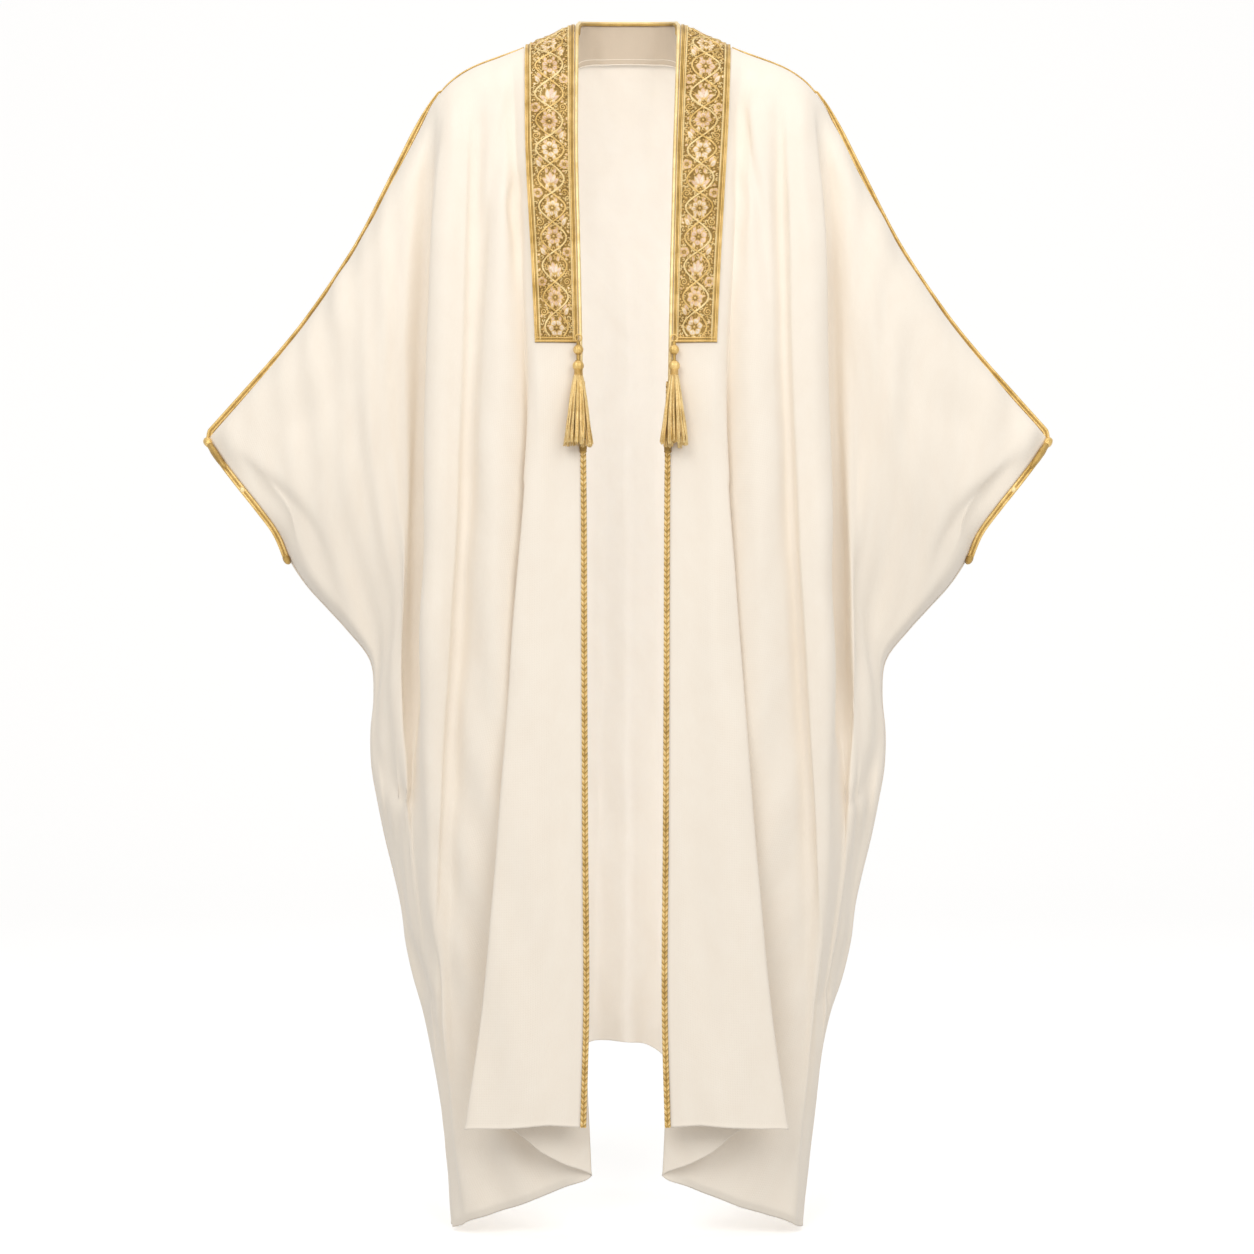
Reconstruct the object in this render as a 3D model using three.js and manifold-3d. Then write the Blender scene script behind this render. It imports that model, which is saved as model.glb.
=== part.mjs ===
// A man's bisht, the open-front cloak also called an abaya: one wide rectangular cut that hangs from the
// shoulders and the held-out arms of an unseen wearer. Millimetres, +Z up, the wearer faces -Y.
// The origin is midway between the two points where the shoulder seams meet the neck.
//
// Every sheet of cloth is a net. Its long lines are the fold lines, crest or valley, that run from the
// shoulder seam down to the hem, and its rows step down them. Two walls, offset to either side of the net,
// make the cloth.
import * as THREE from 'three';
import { mergeVertices } from 'three/addons/utils/BufferGeometryUtils.js';
import Module from 'manifold-3d';

const wasm = await Module();
wasm.setup();

// ---------------------------------------------------------------- driving sizes

const CLOTH = 1.6; // thickness of a panel, its hems and seams included
const GAP = 0.3; // between pieces that are sewn together
// The front opening sits a little towards the wearer's right, from a share of the way down, and the shift
// fades over the first few fold lines.
const OPENING_SHIFT = { across: -3, fullFrom: 0.125, lines: 5 };
const SIDES = { right: -1, left: 1 }; // the wearer's right is -X

// The shoulder seam, from the neck over the shoulder and down the arm to the tip of the sleeve.
const SHOULDER_SEAM = [
  { at: 'neck', across: 63, height: 0 },
  { at: 'mid band', across: 95, height: -12 },
  { at: 'outer edge of the band', across: 121, height: -26 },
  { at: 'shoulder', across: 160, height: -41 },
  { at: 'shoulder point', across: 201, height: -60 },
  { at: 'over the shoulder', across: 224, height: -81 },
  { at: 'upper arm', across: 239, height: -104 },
  { at: 'arm', across: 294, height: -217 },
  { at: 'elbow', across: 372, height: -340 },
  { at: 'forearm', across: 441, height: -428 },
  { at: 'wrist', across: 487, height: -470 },
  { at: 'tip', across: 502, height: -493 },
];

// The free and sewn edge at the side: the cuff opening, then the side seam down to the hem.
const CUFF_END = 5; // row of SIDE_EDGE where the cuff opening ends and the side seam starts
const UNDERARM_CORNER = 7; // row of SIDE_EDGE where the seam turns down
const SIDE_EDGE = [
  { at: 'tip', across: 502, height: -493 },
  { at: 'upper cuff', across: 481, height: -521 },
  { at: 'mid cuff', across: 460, height: -547 },
  { at: 'lower cuff', across: 431, height: -584 },
  { at: 'cuff bend', across: 414, height: -610 },
  { at: 'cuff end', across: 404, height: -640 },
  { at: 'underarm', across: 352, height: -706 },
  { at: 'underarm corner', across: 308, height: -760 },
  { at: 'below the corner', across: 304, height: -792 },
  { at: 'upper drape', across: 308, height: -868 },
  { at: 'drape bottom', across: 297, height: -940 },
  { at: 'thigh', across: 270, height: -1060 },
  { at: 'lower drape', across: 261, height: -1122 },
  { at: 'lower drape bottom', across: 242, height: -1180 },
  { at: 'calf', across: 224, height: -1270 },
  { at: 'ankle', across: 217, height: -1350 },
  { at: 'hem', across: 208, height: -1436 },
];
const CUFF_OPEN = { half: 34, roundness: 0.8 }; // half the width of the cuff opening, front to back
// Near its edge a sheet rounds towards the other one: how far over, and how much of its depth is left there.
const SIDE_ROUNDING = { over: 0.74, sewnDepth: 0.72, openDepth: 0.92, openFade: 80 };

// Heights at which the tables below give each fold line.
const LEVELS = { yoke: -130, breast: -330, waist: -560, hip: -780, thigh: -960, calf: -1180 };

// Fold lines of a front, from its front edge to the valley in front of the arm.
// across: distance from the centre at the seam, at each level and at the hem.
// out: distance in front of the shoulder seam, likewise.
// crease: a sharp fold, where the cloth turns back on itself this far apart.
const FRONT_LINES = [
  {
    line: 'front edge', hem: -1290,
    across: { seam: 63, yoke: 61, breast: 56, waist: 52, hip: 51, thigh: 50, calf: 49, hem: 52 },
    out: { seam: 50, yoke: 80, breast: 116, waist: 128, hip: 133, thigh: 139, calf: 147, hem: 152 },
  },
  {
    line: 'outer edge of the band', hem: -1288,
    across: { seam: 121, yoke: 118, breast: 107, waist: 99, hip: 100, thigh: 105, calf: 112, hem: 120 },
    out: { seam: 50, yoke: 82, breast: 119, waist: 132, hip: 138, thigh: 146, calf: 155, hem: 162 },
  },
  {
    line: 'fold edge of the front panel', hem: -1291, crease: 4.5,
    across: { seam: 130, yoke: 126, breast: 118, waist: 118, hip: 133, thigh: 146, calf: 167, hem: 183 },
    out: { seam: 49, yoke: 76, breast: 112, waist: 124, hip: 129, thigh: 136, calf: 144, hem: 148 },
  },
  {
    line: 'inner fold of the underlay', hem: -1354, crease: 5,
    across: { seam: 139, yoke: 134, breast: 121, waist: 108, hip: 97, thigh: 80, calf: 51, hem: 42 },
    out: { seam: 48, yoke: 71, breast: 99, waist: 104, hip: 106, thigh: 109, calf: 111, hem: 111 },
  },
  {
    line: 'breast crest', hem: -1386,
    across: { seam: 154, yoke: 147, breast: 149, waist: 152, hip: 158, thigh: 163, calf: 154, hem: 130 },
    out: { seam: 48, yoke: 80, breast: 121, waist: 130, hip: 124, thigh: 115, calf: 95, hem: 88 },
  },
  {
    line: 'outer valley', hem: -1408,
    across: { seam: 187, yoke: 183, breast: 185, waist: 192, hip: 206, thigh: 215, calf: 214, hem: 188 },
    out: { seam: 46, yoke: 66, breast: 94, waist: 102, hip: 100, thigh: 96, calf: 84, hem: 74 },
  },
  {
    line: 'shoulder crest', hem: -1424,
    across: { seam: 213, yoke: 206, breast: 211, waist: 217, hip: 226, thigh: 229, calf: 214, hem: 197 },
    out: { seam: 44, yoke: 66, breast: 98, waist: 108, hip: 106, thigh: 96, calf: 74, hem: 62 },
  },
  {
    line: 'valley in front of the arm', hem: -1428,
    across: { seam: 236, yoke: 236, breast: 242, waist: 245, hip: 248, thigh: 250, calf: 226, hem: 204 },
    out: { seam: 36, yoke: 40, breast: 62, waist: 64, hip: 62, thigh: 66, calf: 56, hem: 46 },
  },
];

// Fold lines of half of the back, from the centre to the valley behind the arm. out is the distance behind
// the shoulder seam. The first three start on the back of the neck and the fourth where it meets the seam.
const BACK_LINES = [
  {
    line: 'centre', top: { across: 0, out: 72, height: 18.5 }, hem: -1243,
    across: { yoke: 0, breast: 0, waist: 0, hip: 0, thigh: 0, calf: 0, hem: 0 },
    out: { yoke: 108, breast: 124, waist: 130, hip: 134, thigh: 138, calf: 144, hem: 148 },
  },
  {
    line: 'centre crest', top: { across: 34, out: 68, height: 17.5 }, hem: -1246,
    across: { yoke: 30, breast: 31, waist: 33, hip: 36, thigh: 38, calf: 42, hem: 45 },
    out: { yoke: 110, breast: 130, waist: 140, hip: 148, thigh: 156, calf: 168, hem: 176 },
  },
  {
    line: 'neck corner', top: { across: 57, out: 44, height: 12 }, hem: -1264,
    across: { yoke: 62, breast: 64, waist: 66, hip: 70, thigh: 74, calf: 80, hem: 84 },
    out: { yoke: 104, breast: 121, waist: 125, hip: 126, thigh: 126, calf: 128, hem: 130 },
  },
  {
    line: 'blade crest', seam: 64, hem: -1292,
    across: { yoke: 96, breast: 98, waist: 101, hip: 106, thigh: 112, calf: 118, hem: 122 },
    out: { seam: 46, yoke: 104, breast: 128, waist: 140, hip: 148, thigh: 156, calf: 164, hem: 168 },
  },
  {
    line: 'blade valley', seam: 121, hem: -1328,
    across: { yoke: 130, breast: 134, waist: 137, hip: 142, thigh: 146, calf: 144, hem: 142 },
    out: { seam: 46, yoke: 92, breast: 110, waist: 112, hip: 112, thigh: 112, calf: 110, hem: 106 },
  },
  {
    line: 'shoulder crest', seam: 172, hem: -1368,
    across: { yoke: 168, breast: 173, waist: 178, hip: 186, thigh: 190, calf: 184, hem: 172 },
    out: { seam: 46, yoke: 86, breast: 112, waist: 122, hip: 126, thigh: 130, calf: 128, hem: 122 },
  },
  {
    line: 'shoulder valley', seam: 213, hem: -1404,
    across: { yoke: 202, breast: 208, waist: 213, hip: 220, thigh: 225, calf: 212, hem: 194 },
    out: { seam: 42, yoke: 66, breast: 84, waist: 86, hip: 86, thigh: 88, calf: 82, hem: 74 },
  },
  {
    line: 'valley behind the arm', seam: 236, hem: -1424,
    across: { yoke: 236, breast: 246, waist: 250, hip: 254, thigh: 256, calf: 232, hem: 207 },
    out: { seam: 36, yoke: 48, breast: 66, waist: 70, hip: 70, thigh: 72, calf: 62, hem: 50 },
  },
];

// Lines of the sleeve and side, between the arm valley and the side edge. share is how far over they lie.
// out: distance from the seam's plane at the top, at shares of the way down, and at the hem.
const SLEEVE_LINES = [
  {
    line: 'sleeve crest', share: 0.3,
    out: { top: 50, cuff: 62, underarm: 76, drape: 80, thigh: 62, calf: 50, hem: 38 },
  },
  {
    line: 'sleeve valley', share: 0.58,
    out: { top: 48, cuff: 60, underarm: 57, drape: 60, thigh: 47, calf: 39, hem: 29 },
  },
  {
    line: 'sleeve edge', share: 0.82,
    out: { top: 34, cuff: 46, underarm: 30, drape: 36, thigh: 29, calf: 24, hem: 17 },
  },
];
const SLEEVE_STATIONS = { top: 0, cuff: 0.14, underarm: 0.32, drape: 0.46, thigh: 0.64, calf: 0.82, hem: 1 };
const RISE_FADE = 3; // how fast the arm's hollow in the shoulder seam fades down the sleeve

const BACK_HEM_DIP = { from: 8, full: 60, until: 210, depth: 22 }; // the back hangs lower on the wearer's left

const ROUNDING = { shoulder: 48, arm: 80, tip: 26 }; // drop over which a sheet turns down from the seam

// Large drapes, pressed forward out of a front along a curve from one point to another, and fading out at
// its ends. Points are [across, height]; crisp is the share of the width that the outer, lower flank takes.
const DRAPE_STEPS = 24;
const DRAPE_END = 0.06;
const DRAPES = [
  {
    name: 'crease from the tip', from: [470, -500], via: [402, -560], to: [372, -634],
    width: 26, out: 16, crisp: 0.35,
  },
  { name: 'arm drape', from: [262, -180], via: [288, -330], to: [352, -520], width: 42, out: 12, crisp: 1 },
  {
    name: 'upper pocket', from: [300, -890], via: [282, -938], to: [256, -900],
    width: 40, out: 10, crisp: 0.6,
  },
  {
    name: 'lower pocket', from: [256, -1130], via: [243, -1172], to: [232, -1130],
    width: 30, out: 6, crisp: 0.6,
  },
];

// ---------------------------------------------------------------- curves and nets

// A smooth value at t through the values at rising knots.
function through(knots, values, t) {
  const last = knots.length - 1;
  const clamped = Math.min(Math.max(t, knots[0]), knots[last]);
  let k = 0;
  while (k < last - 1 && clamped > knots[k + 1]) k++;
  const chord = (i) => (values[i + 1] - values[i]) / (knots[i + 1] - knots[i]);
  const slope = (i) => {
    if (i === 0) return chord(0);
    if (i === last) return chord(last - 1);
    const before = knots[i] - knots[i - 1];
    const after = knots[i + 1] - knots[i];
    return (chord(i - 1) * after + chord(i) * before) / (before + after);
  };
  const span = knots[k + 1] - knots[k];
  const s = (clamped - knots[k]) / span;
  const bend0 = (slope(k) * span - (values[k + 1] - values[k])) * (1 - s);
  const bend1 = (values[k + 1] - values[k] - slope(k + 1) * span) * s;
  return values[k] + (values[k + 1] - values[k]) * s + s * (1 - s) * (bend0 + bend1);
}

const SEAM_X = SHOULDER_SEAM.map((row) => row.across);
const SEAM_Z = SHOULDER_SEAM.map((row) => row.height);
const seamHeight = (across) => through(SEAM_X, SEAM_Z, across);

// How far a sheet has turned down, 0 on the seam and 1 once it hangs.
const turned = (drop, over) => Math.sqrt(Math.max(0, 1 - (1 - Math.min(Math.max(drop, 0) / over, 1)) ** 2));

// 0 before one value, 1 past another, smooth between.
const smooth = (value, from, to) => THREE.MathUtils.smoothstep(value, from, to);

// Running lengths along a table of { across, height } rows, from 0 to 1.
function shares(rows) {
  const lengths = [0];
  for (let i = 1; i < rows.length; i++) {
    const step = Math.hypot(rows[i].across - rows[i - 1].across, rows[i].height - rows[i - 1].height);
    lengths.push(lengths[i - 1] + step);
  }
  return lengths.map((length) => length / lengths.at(-1));
}
const SIDE_SHARES = shares(SIDE_EDGE);
const CUFF_SHARE = SIDE_SHARES[CUFF_END];
const UNDERARM_SHARE = SIDE_SHARES[UNDERARM_CORNER];

// The side edge at a share of the way down. Its sheets meet on the seam's plane but part at the cuff.
function sideEdge(share) {
  const across = through(SIDE_SHARES, SIDE_EDGE.map((row) => row.across), share);
  const height = through(SIDE_SHARES, SIDE_EDGE.map((row) => row.height), share);
  const opened = share < CUFF_SHARE ? Math.sin((Math.PI * share) / CUFF_SHARE) ** CUFF_OPEN.roundness : 0;
  return { across, height, out: GAP / 2 + CUFF_OPEN.half * opened };
}

// A fold line of the body at a share of the way down, from a row of FRONT_LINES or BACK_LINES.
function bodyLine(row, share) {
  const seamAcross = row.top ? row.top.across : row.seam ?? row.across.seam;
  const top = row.top ? row.top.height : seamHeight(seamAcross);
  const height = top + (row.hem - top) * share;
  const knots = [-top, ...Object.values(LEVELS).map((level) => -level), -row.hem];
  const named = (column, first) => [first, ...Object.keys(LEVELS).map((level) => column[level]), column.hem];
  const across = through(knots, named(row.across, seamAcross), -height);
  const out = through(knots, named(row.out, row.top ? row.top.out : row.out.seam), -height);
  if (row.top) return { across, height, out };
  return { across, height, out: GAP / 2 + (out - GAP / 2) * turned(top - height, ROUNDING.shoulder) };
}

// A line of the sleeve, a share of the way over from the arm valley to the side edge.
function sleeveLine(row, valley, share) {
  const over = row.share;
  const inner = bodyLine(valley, share);
  const outer = sideEdge(share);
  const seamStart = valley.seam ?? valley.across.seam;
  const seamAcross = THREE.MathUtils.lerp(seamStart, SEAM_X.at(-1), over);
  const chordTop = THREE.MathUtils.lerp(seamHeight(seamStart), SEAM_Z.at(-1), over);
  const rise = (seamHeight(seamAcross) - chordTop) * (1 - share) ** RISE_FADE;
  const across = THREE.MathUtils.lerp(inner.across, outer.across, over);
  const height = THREE.MathUtils.lerp(inner.height, outer.height, over) + rise;
  const out = through(Object.values(SLEEVE_STATIONS), Object.values(row.out), share);
  const rounding = THREE.MathUtils.lerp(ROUNDING.arm, ROUNDING.tip, over);
  return { across, height, out: GAP / 2 + out * turned(seamHeight(seamAcross) - height, rounding) };
}

// The line that rounds the side, close to the edge, so that front and back meet face to face.
function roundingLine(edgeLine, edge) {
  const { over, sewnDepth, openDepth, openFade } = SIDE_ROUNDING;
  const depth = edge.out < GAP ? sewnDepth : openDepth;
  return {
    across: THREE.MathUtils.lerp(edgeLine.across, edge.across, over),
    height: THREE.MathUtils.lerp(edgeLine.height, edge.height, over),
    out: THREE.MathUtils.lerp(edge.out, edgeLine.out, depth - edge.out / openFade),
  };
}

// All the lines of one sheet at a share of the way down, from the middle of the garment to its side.
function linesAt(bodyRows, share) {
  const valley = bodyRows.at(-1);
  const body = bodyRows.map((row) => bodyLine(row, share));
  const sleeve = SLEEVE_LINES.map((row) => sleeveLine(row, valley, share));
  const edge = sideEdge(share);
  return [...body, ...sleeve, roundingLine(sleeve.at(-1), edge), edge];
}

// How far a point of a front is pressed out by the DRAPES.
function pressed(across, height) {
  let out = 0;
  for (const drape of DRAPES) {
    const curve = new THREE.QuadraticBezierCurve(
      new THREE.Vector2(...drape.from), new THREE.Vector2(...drape.via), new THREE.Vector2(...drape.to));
    let nearest = { distance: Infinity };
    for (let i = 0; i <= DRAPE_STEPS; i++) {
      const t = i / DRAPE_STEPS;
      const on = curve.getPoint(t);
      const distance = Math.hypot(across - on.x, height - on.y);
      if (distance < nearest.distance) nearest = { distance, t, on };
    }
    const tangent = curve.getTangent(nearest.t);
    const side = (across - nearest.on.x) * -tangent.y + (height - nearest.on.y) * tangent.x;
    const width = side > 0 ? drape.width * drape.crisp : drape.width;
    const taper = Math.sin(Math.PI * THREE.MathUtils.clamp(nearest.t, DRAPE_END, 1 - DRAPE_END));
    out += drape.out * taper * Math.exp(-((nearest.distance / width) ** 2));
  }
  return out;
}

// A point on a smooth curve through four points, between the middle two.
function centripetal(points, t) {
  const knots = [0];
  for (let i = 1; i < points.length; i++) {
    knots.push(knots[i - 1] + Math.sqrt(points[i].distanceTo(points[i - 1])));
  }
  const at = THREE.MathUtils.lerp(knots[1], knots[2], t);
  const mix = (a, b, from, to) => a.clone().lerp(b, (at - from) / (to - from));
  const first = [0, 1, 2].map((i) => mix(points[i], points[i + 1], knots[i], knots[i + 1]));
  const second = [0, 1].map((i) => mix(first[i], first[i + 1], knots[i], knots[i + 2]));
  return mix(second[0], second[1], knots[1], knots[2]);
}

// One row of a net: the lines' points joined by a smooth curve, with a few steps between one and the next.
// The curve starts afresh at a corner.
function rowThrough(points, steps, corners = []) {
  const row = [];
  const last = points.length - 1;
  const mirrored = (end, inner) => end.clone().multiplyScalar(2).sub(inner);
  const isEnd = (k) => k === 0 || k === last || corners.includes(k);
  for (let i = 0; i < last; i++) {
    const before = isEnd(i) ? mirrored(points[i], points[i + 1]) : points[i - 1];
    const beyond = isEnd(i + 1) ? mirrored(points[i + 1], points[i]) : points[i + 2];
    const four = [before, points[i], points[i + 1], beyond];
    for (let k = 0; k < steps[i]; k++) row.push(centripetal(four, k / steps[i]));
  }
  row.push(points[last].clone());
  return row;
}

// Evenly spaced numbers after one and up to another.
function evenly(count, from, to) {
  return Array.from({ length: count }, (_, i) => from + ((to - from) * (i + 1)) / count);
}

// Shares of the way down for the rows of a net: close over the shoulder, then even to the end of the cuff
// opening, to just above the bottom of the bands, to the underarm corner and to the hem.
const OVER_SHOULDER = [0, 3, 12, 26, 46].map((drop) => drop / 1300);
const ABOVE_BAND_END = 0.28;
const ROWS = { cuff: 4, band: 3, below: 16 };
const SHARES_DOWN = [
  ...OVER_SHOULDER,
  ...evenly(ROWS.cuff, OVER_SHOULDER.at(-1), CUFF_SHARE),
  ...evenly(ROWS.band, CUFF_SHARE, ABOVE_BAND_END),
  UNDERARM_SHARE,
  ...evenly(ROWS.below, UNDERARM_SHARE, 1),
];
const CUFF_ROW = OVER_SHOULDER.length + ROWS.cuff - 1;

// ---------------------------------------------------------------- walls

// Unit normals of a net, across then down, turned to the side that `outward` picks.
function normalsOf(net, outward) {
  const clampTo = (list, i) => list[Math.min(Math.max(i, 0), list.length - 1)];
  return net.map((row, i) => row.map((point, j) => {
    const before = point.clone().sub(clampTo(row, j - 1)).normalize();
    const along = clampTo(row, j + 1).clone().sub(point).normalize().add(before);
    const down = clampTo(net, i + 1)[j].clone().sub(clampTo(net, i - 1)[j]);
    return along.cross(down).multiplyScalar(outward).normalize();
  }));
}

// On the sewn edges the cloth's end faces lie flat against each other, so their normals stay in that plane.
function flattenSewn(normals, sewn) {
  normals.forEach((row, i) => row.forEach((normal, j) => {
    if (sewn(i, j)) normal.setY(0).normalize();
  }));
}

// A closed wall between two offsets of a net, the outer one given as a function of row and column.
function wall(net, normals, outerAt, inner) {
  const rows = net.length;
  const columns = net[0].length;
  const positions = [];
  for (const offsetAt of [outerAt, () => inner]) {
    net.forEach((row, i) => row.forEach((point, j) => {
      positions.push(...point.clone().addScaledVector(normals[i][j], offsetAt(i, j)).toArray());
    }));
  }
  const vertex = (layer, i, j) => layer * rows * columns + i * columns + j;
  const triangles = [];
  const quad = (a, b, c, d) => triangles.push(a, b, c, a, c, d);
  for (let i = 0; i < rows - 1; i++) {
    for (let j = 0; j < columns - 1; j++) {
      quad(vertex(0, i, j), vertex(0, i + 1, j), vertex(0, i + 1, j + 1), vertex(0, i, j + 1));
      quad(vertex(1, i, j), vertex(1, i, j + 1), vertex(1, i + 1, j + 1), vertex(1, i + 1, j));
    }
  }
  const rim = [];
  for (let j = 0; j < columns - 1; j++) rim.push([0, j]);
  for (let i = 0; i < rows - 1; i++) rim.push([i, columns - 1]);
  for (let j = columns - 1; j > 0; j--) rim.push([rows - 1, j]);
  for (let i = rows - 1; i > 0; i--) rim.push([i, 0]);
  rim.forEach((corner, k) => {
    const next = rim[(k + 1) % rim.length];
    quad(vertex(0, ...corner), vertex(0, ...next), vertex(1, ...next), vertex(1, ...corner));
  });
  return closedGeometry(positions, triangles);
}

const panel = (net, normals) => wall(net, normals, () => CLOTH / 2, -CLOTH / 2);

// A geometry with its faces pointing out, whichever way round they were listed.
function closedGeometry(positions, triangles) {
  const corner = (k) => new THREE.Vector3().fromArray(positions, 3 * triangles[k]);
  let volume = 0;
  for (let k = 0; k < triangles.length; k += 3) volume += corner(k).dot(corner(k + 1).cross(corner(k + 2)));
  const index = volume < 0 ? triangles.slice().reverse() : triangles;
  return new THREE.BufferGeometry()
    .setAttribute('position', new THREE.Float32BufferAttribute(positions, 3))
    .setIndex(index);
}

// ---------------------------------------------------------------- materials

const CLOTH_IVORY = new THREE.MeshStandardMaterial({ color: 0xf4e9da, roughness: 0.75, metalness: 0 });
const FACING_IVORY = new THREE.MeshStandardMaterial({ color: 0xe6d6c0, roughness: 0.7, metalness: 0 });
const GOLD_THREAD = new THREE.MeshStandardMaterial({ color: 0xc99f45, roughness: 0.45, metalness: 0.5 });
const GOLD_EMBROIDERY = new THREE.MeshStandardMaterial({ color: 0xc6a055, roughness: 0.5, metalness: 0.4 });
const GOLD_SILK = new THREE.MeshStandardMaterial({ color: 0xdcb765, roughness: 0.5, metalness: 0.1 });

const garment = new THREE.Group();

function add(name, geometry, material) {
  const mesh = new THREE.Mesh(geometry, material);
  mesh.name = name;
  garment.add(mesh);
}

// ---------------------------------------------------------------- the fronts

const FRONT_STEPS = [3, 2, 1, 2, 1, 3, 2, 2, 2, 2, 3, 2, 2, 1]; // net columns from each line to the next
const BAND_COLUMNS = FRONT_STEPS[0];

// Numbers of the points that openCreases makes.
const CREASE_CORNERS = FRONT_LINES.flatMap((row, k) => {
  const earlier = FRONT_LINES.slice(0, k).filter((line) => line.crease).length;
  return row.crease ? [k + earlier, k + earlier + 1] : [];
});

// A line's point made two where the cloth turns back sharply, so that its wall has room to turn.
function openCreases(points) {
  return points.flatMap((point, k) => {
    const { crease } = FRONT_LINES[k] ?? {};
    if (!crease) return [point];
    const before = point.clone().sub(points[k - 1]).normalize();
    const beyond = points[k + 1].clone().sub(point).normalize();
    const turn = before.add(beyond).setLength(crease / 2);
    return [point.clone().sub(turn), point.clone().add(turn)];
  });
}

// The net of one front: rows down, columns from the front edge out to the side edge.
function frontNet(side) {
  return SHARES_DOWN.map((share) => {
    const points = linesAt(FRONT_LINES, share).map((line, k) => {
      const fade = Math.max(0, 1 - k / OPENING_SHIFT.lines) * Math.min(share / OPENING_SHIFT.fullFrom, 1);
      const shift = OPENING_SHIFT.across * fade;
      return new THREE.Vector3(side * line.across + shift, -line.out, line.height);
    });
    const row = rowThrough(openCreases(points), FRONT_STEPS, CREASE_CORNERS);
    row.forEach((point, j) => {
      if (j < row.length - 1 && share > 0) point.y -= pressed(Math.abs(point.x), point.z);
    });
    return row;
  });
}

const lastColumn = (net) => net[0].length - 1;
const isSewn = (net) => (i, j) => i === 0 || (j === lastColumn(net) && i >= CUFF_ROW);

const fronts = {};
for (const [name, side] of Object.entries(SIDES)) {
  const net = frontNet(side);
  const normals = normalsOf(net, -side);
  flattenSewn(normals, isSewn(net));
  fronts[name] = { net, normals, side };
  add(`${name}_front`, panel(net, normals), CLOTH_IVORY);
}

// ---------------------------------------------------------------- the back

const BACK_STEPS = [2, 2, 2, 2, 2, 2, 2, 2, 2, 2, 1, 1]; // from the centre outwards
const NECK_LINES = 3; // the lines that start on the back of the neck
const NECK_COLUMNS = BACK_STEPS.slice(0, NECK_LINES).reduce((sum, steps) => sum + steps, 0);

// The net of the whole back, from the wearer's right side edge to the left.
function backNet() {
  return SHARES_DOWN.map((share) => {
    const lines = linesAt(BACK_LINES, share);
    const half = lines.map((line) => new THREE.Vector3(line.across, line.out, line.height));
    const mirrored = half.slice(1).reverse().map((point) => new THREE.Vector3(-point.x, point.y, point.z));
    const row = rowThrough([...mirrored, ...half], [...BACK_STEPS].reverse().concat(BACK_STEPS));
    row.forEach((point) => {
      const { from, full, until, depth } = BACK_HEM_DIP;
      const dip = smooth(point.x, from, full) * (1 - smooth(point.x, full, until));
      point.set(point.x, Math.max(point.y, GAP / 2), point.z - depth * dip * share ** 2);
    });
    return row;
  });
}

const back = backNet();
const backCentre = lastColumn(back) / 2;
const backNormals = normalsOf(back, 1);
flattenSewn(backNormals, (i, j) => {
  const onNeck = Math.abs(j - backCentre) < NECK_COLUMNS;
  const onSide = j === 0 || j === lastColumn(back);
  return (i === 0 && !onNeck) || (onSide && i >= CUFF_ROW);
});
add('back', panel(back, backNormals), CLOTH_IVORY);

// ---------------------------------------------------------------- the neck facing

const FACING = { rows: 5, columns: 5, thickness: 1.2 }; // net rows down, and columns each side of the centre

const facingPart = (table) => table.slice(0, FACING.rows)
  .map((row) => row.slice(backCentre - FACING.columns, backCentre + FACING.columns + 1));
const facingTop = -CLOTH / 2 - GAP;
const facing = wall(facingPart(back), facingPart(backNormals), () => facingTop, facingTop - FACING.thickness);
add('neck_facing', facing, FACING_IVORY);

// ---------------------------------------------------------------- the embroidered bands

const BAND = { bottom: -393, field: 1.9, border: 2.9, borderWidth: 5, slope: 1.2, edge: 0.4 };

// The point and normal of a sheet at a fractional row and column of its net.
function onNet(sheet, row, column) {
  const i = Math.min(Math.floor(row), sheet.net.length - 2);
  const j = Math.min(Math.floor(column), lastColumn(sheet.net) - 1);
  const mixed = (table) => {
    const upper = table[i][j].clone().lerp(table[i][j + 1], column - j);
    const lower = table[i + 1][j].clone().lerp(table[i + 1][j + 1], column - j);
    return upper.lerp(lower, row - i);
  };
  return { point: mixed(sheet.net), normal: mixed(sheet.normals).normalize() };
}

// The fractional row where a column of a sheet is at a height.
function rowAt(sheet, column, height) {
  const z = (row) => onNet(sheet, row, column).point.z;
  let i = 0;
  while (z(i + 1) > height) i++;
  return i + (z(i) - height) / (z(i) - z(i + 1));
}

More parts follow.
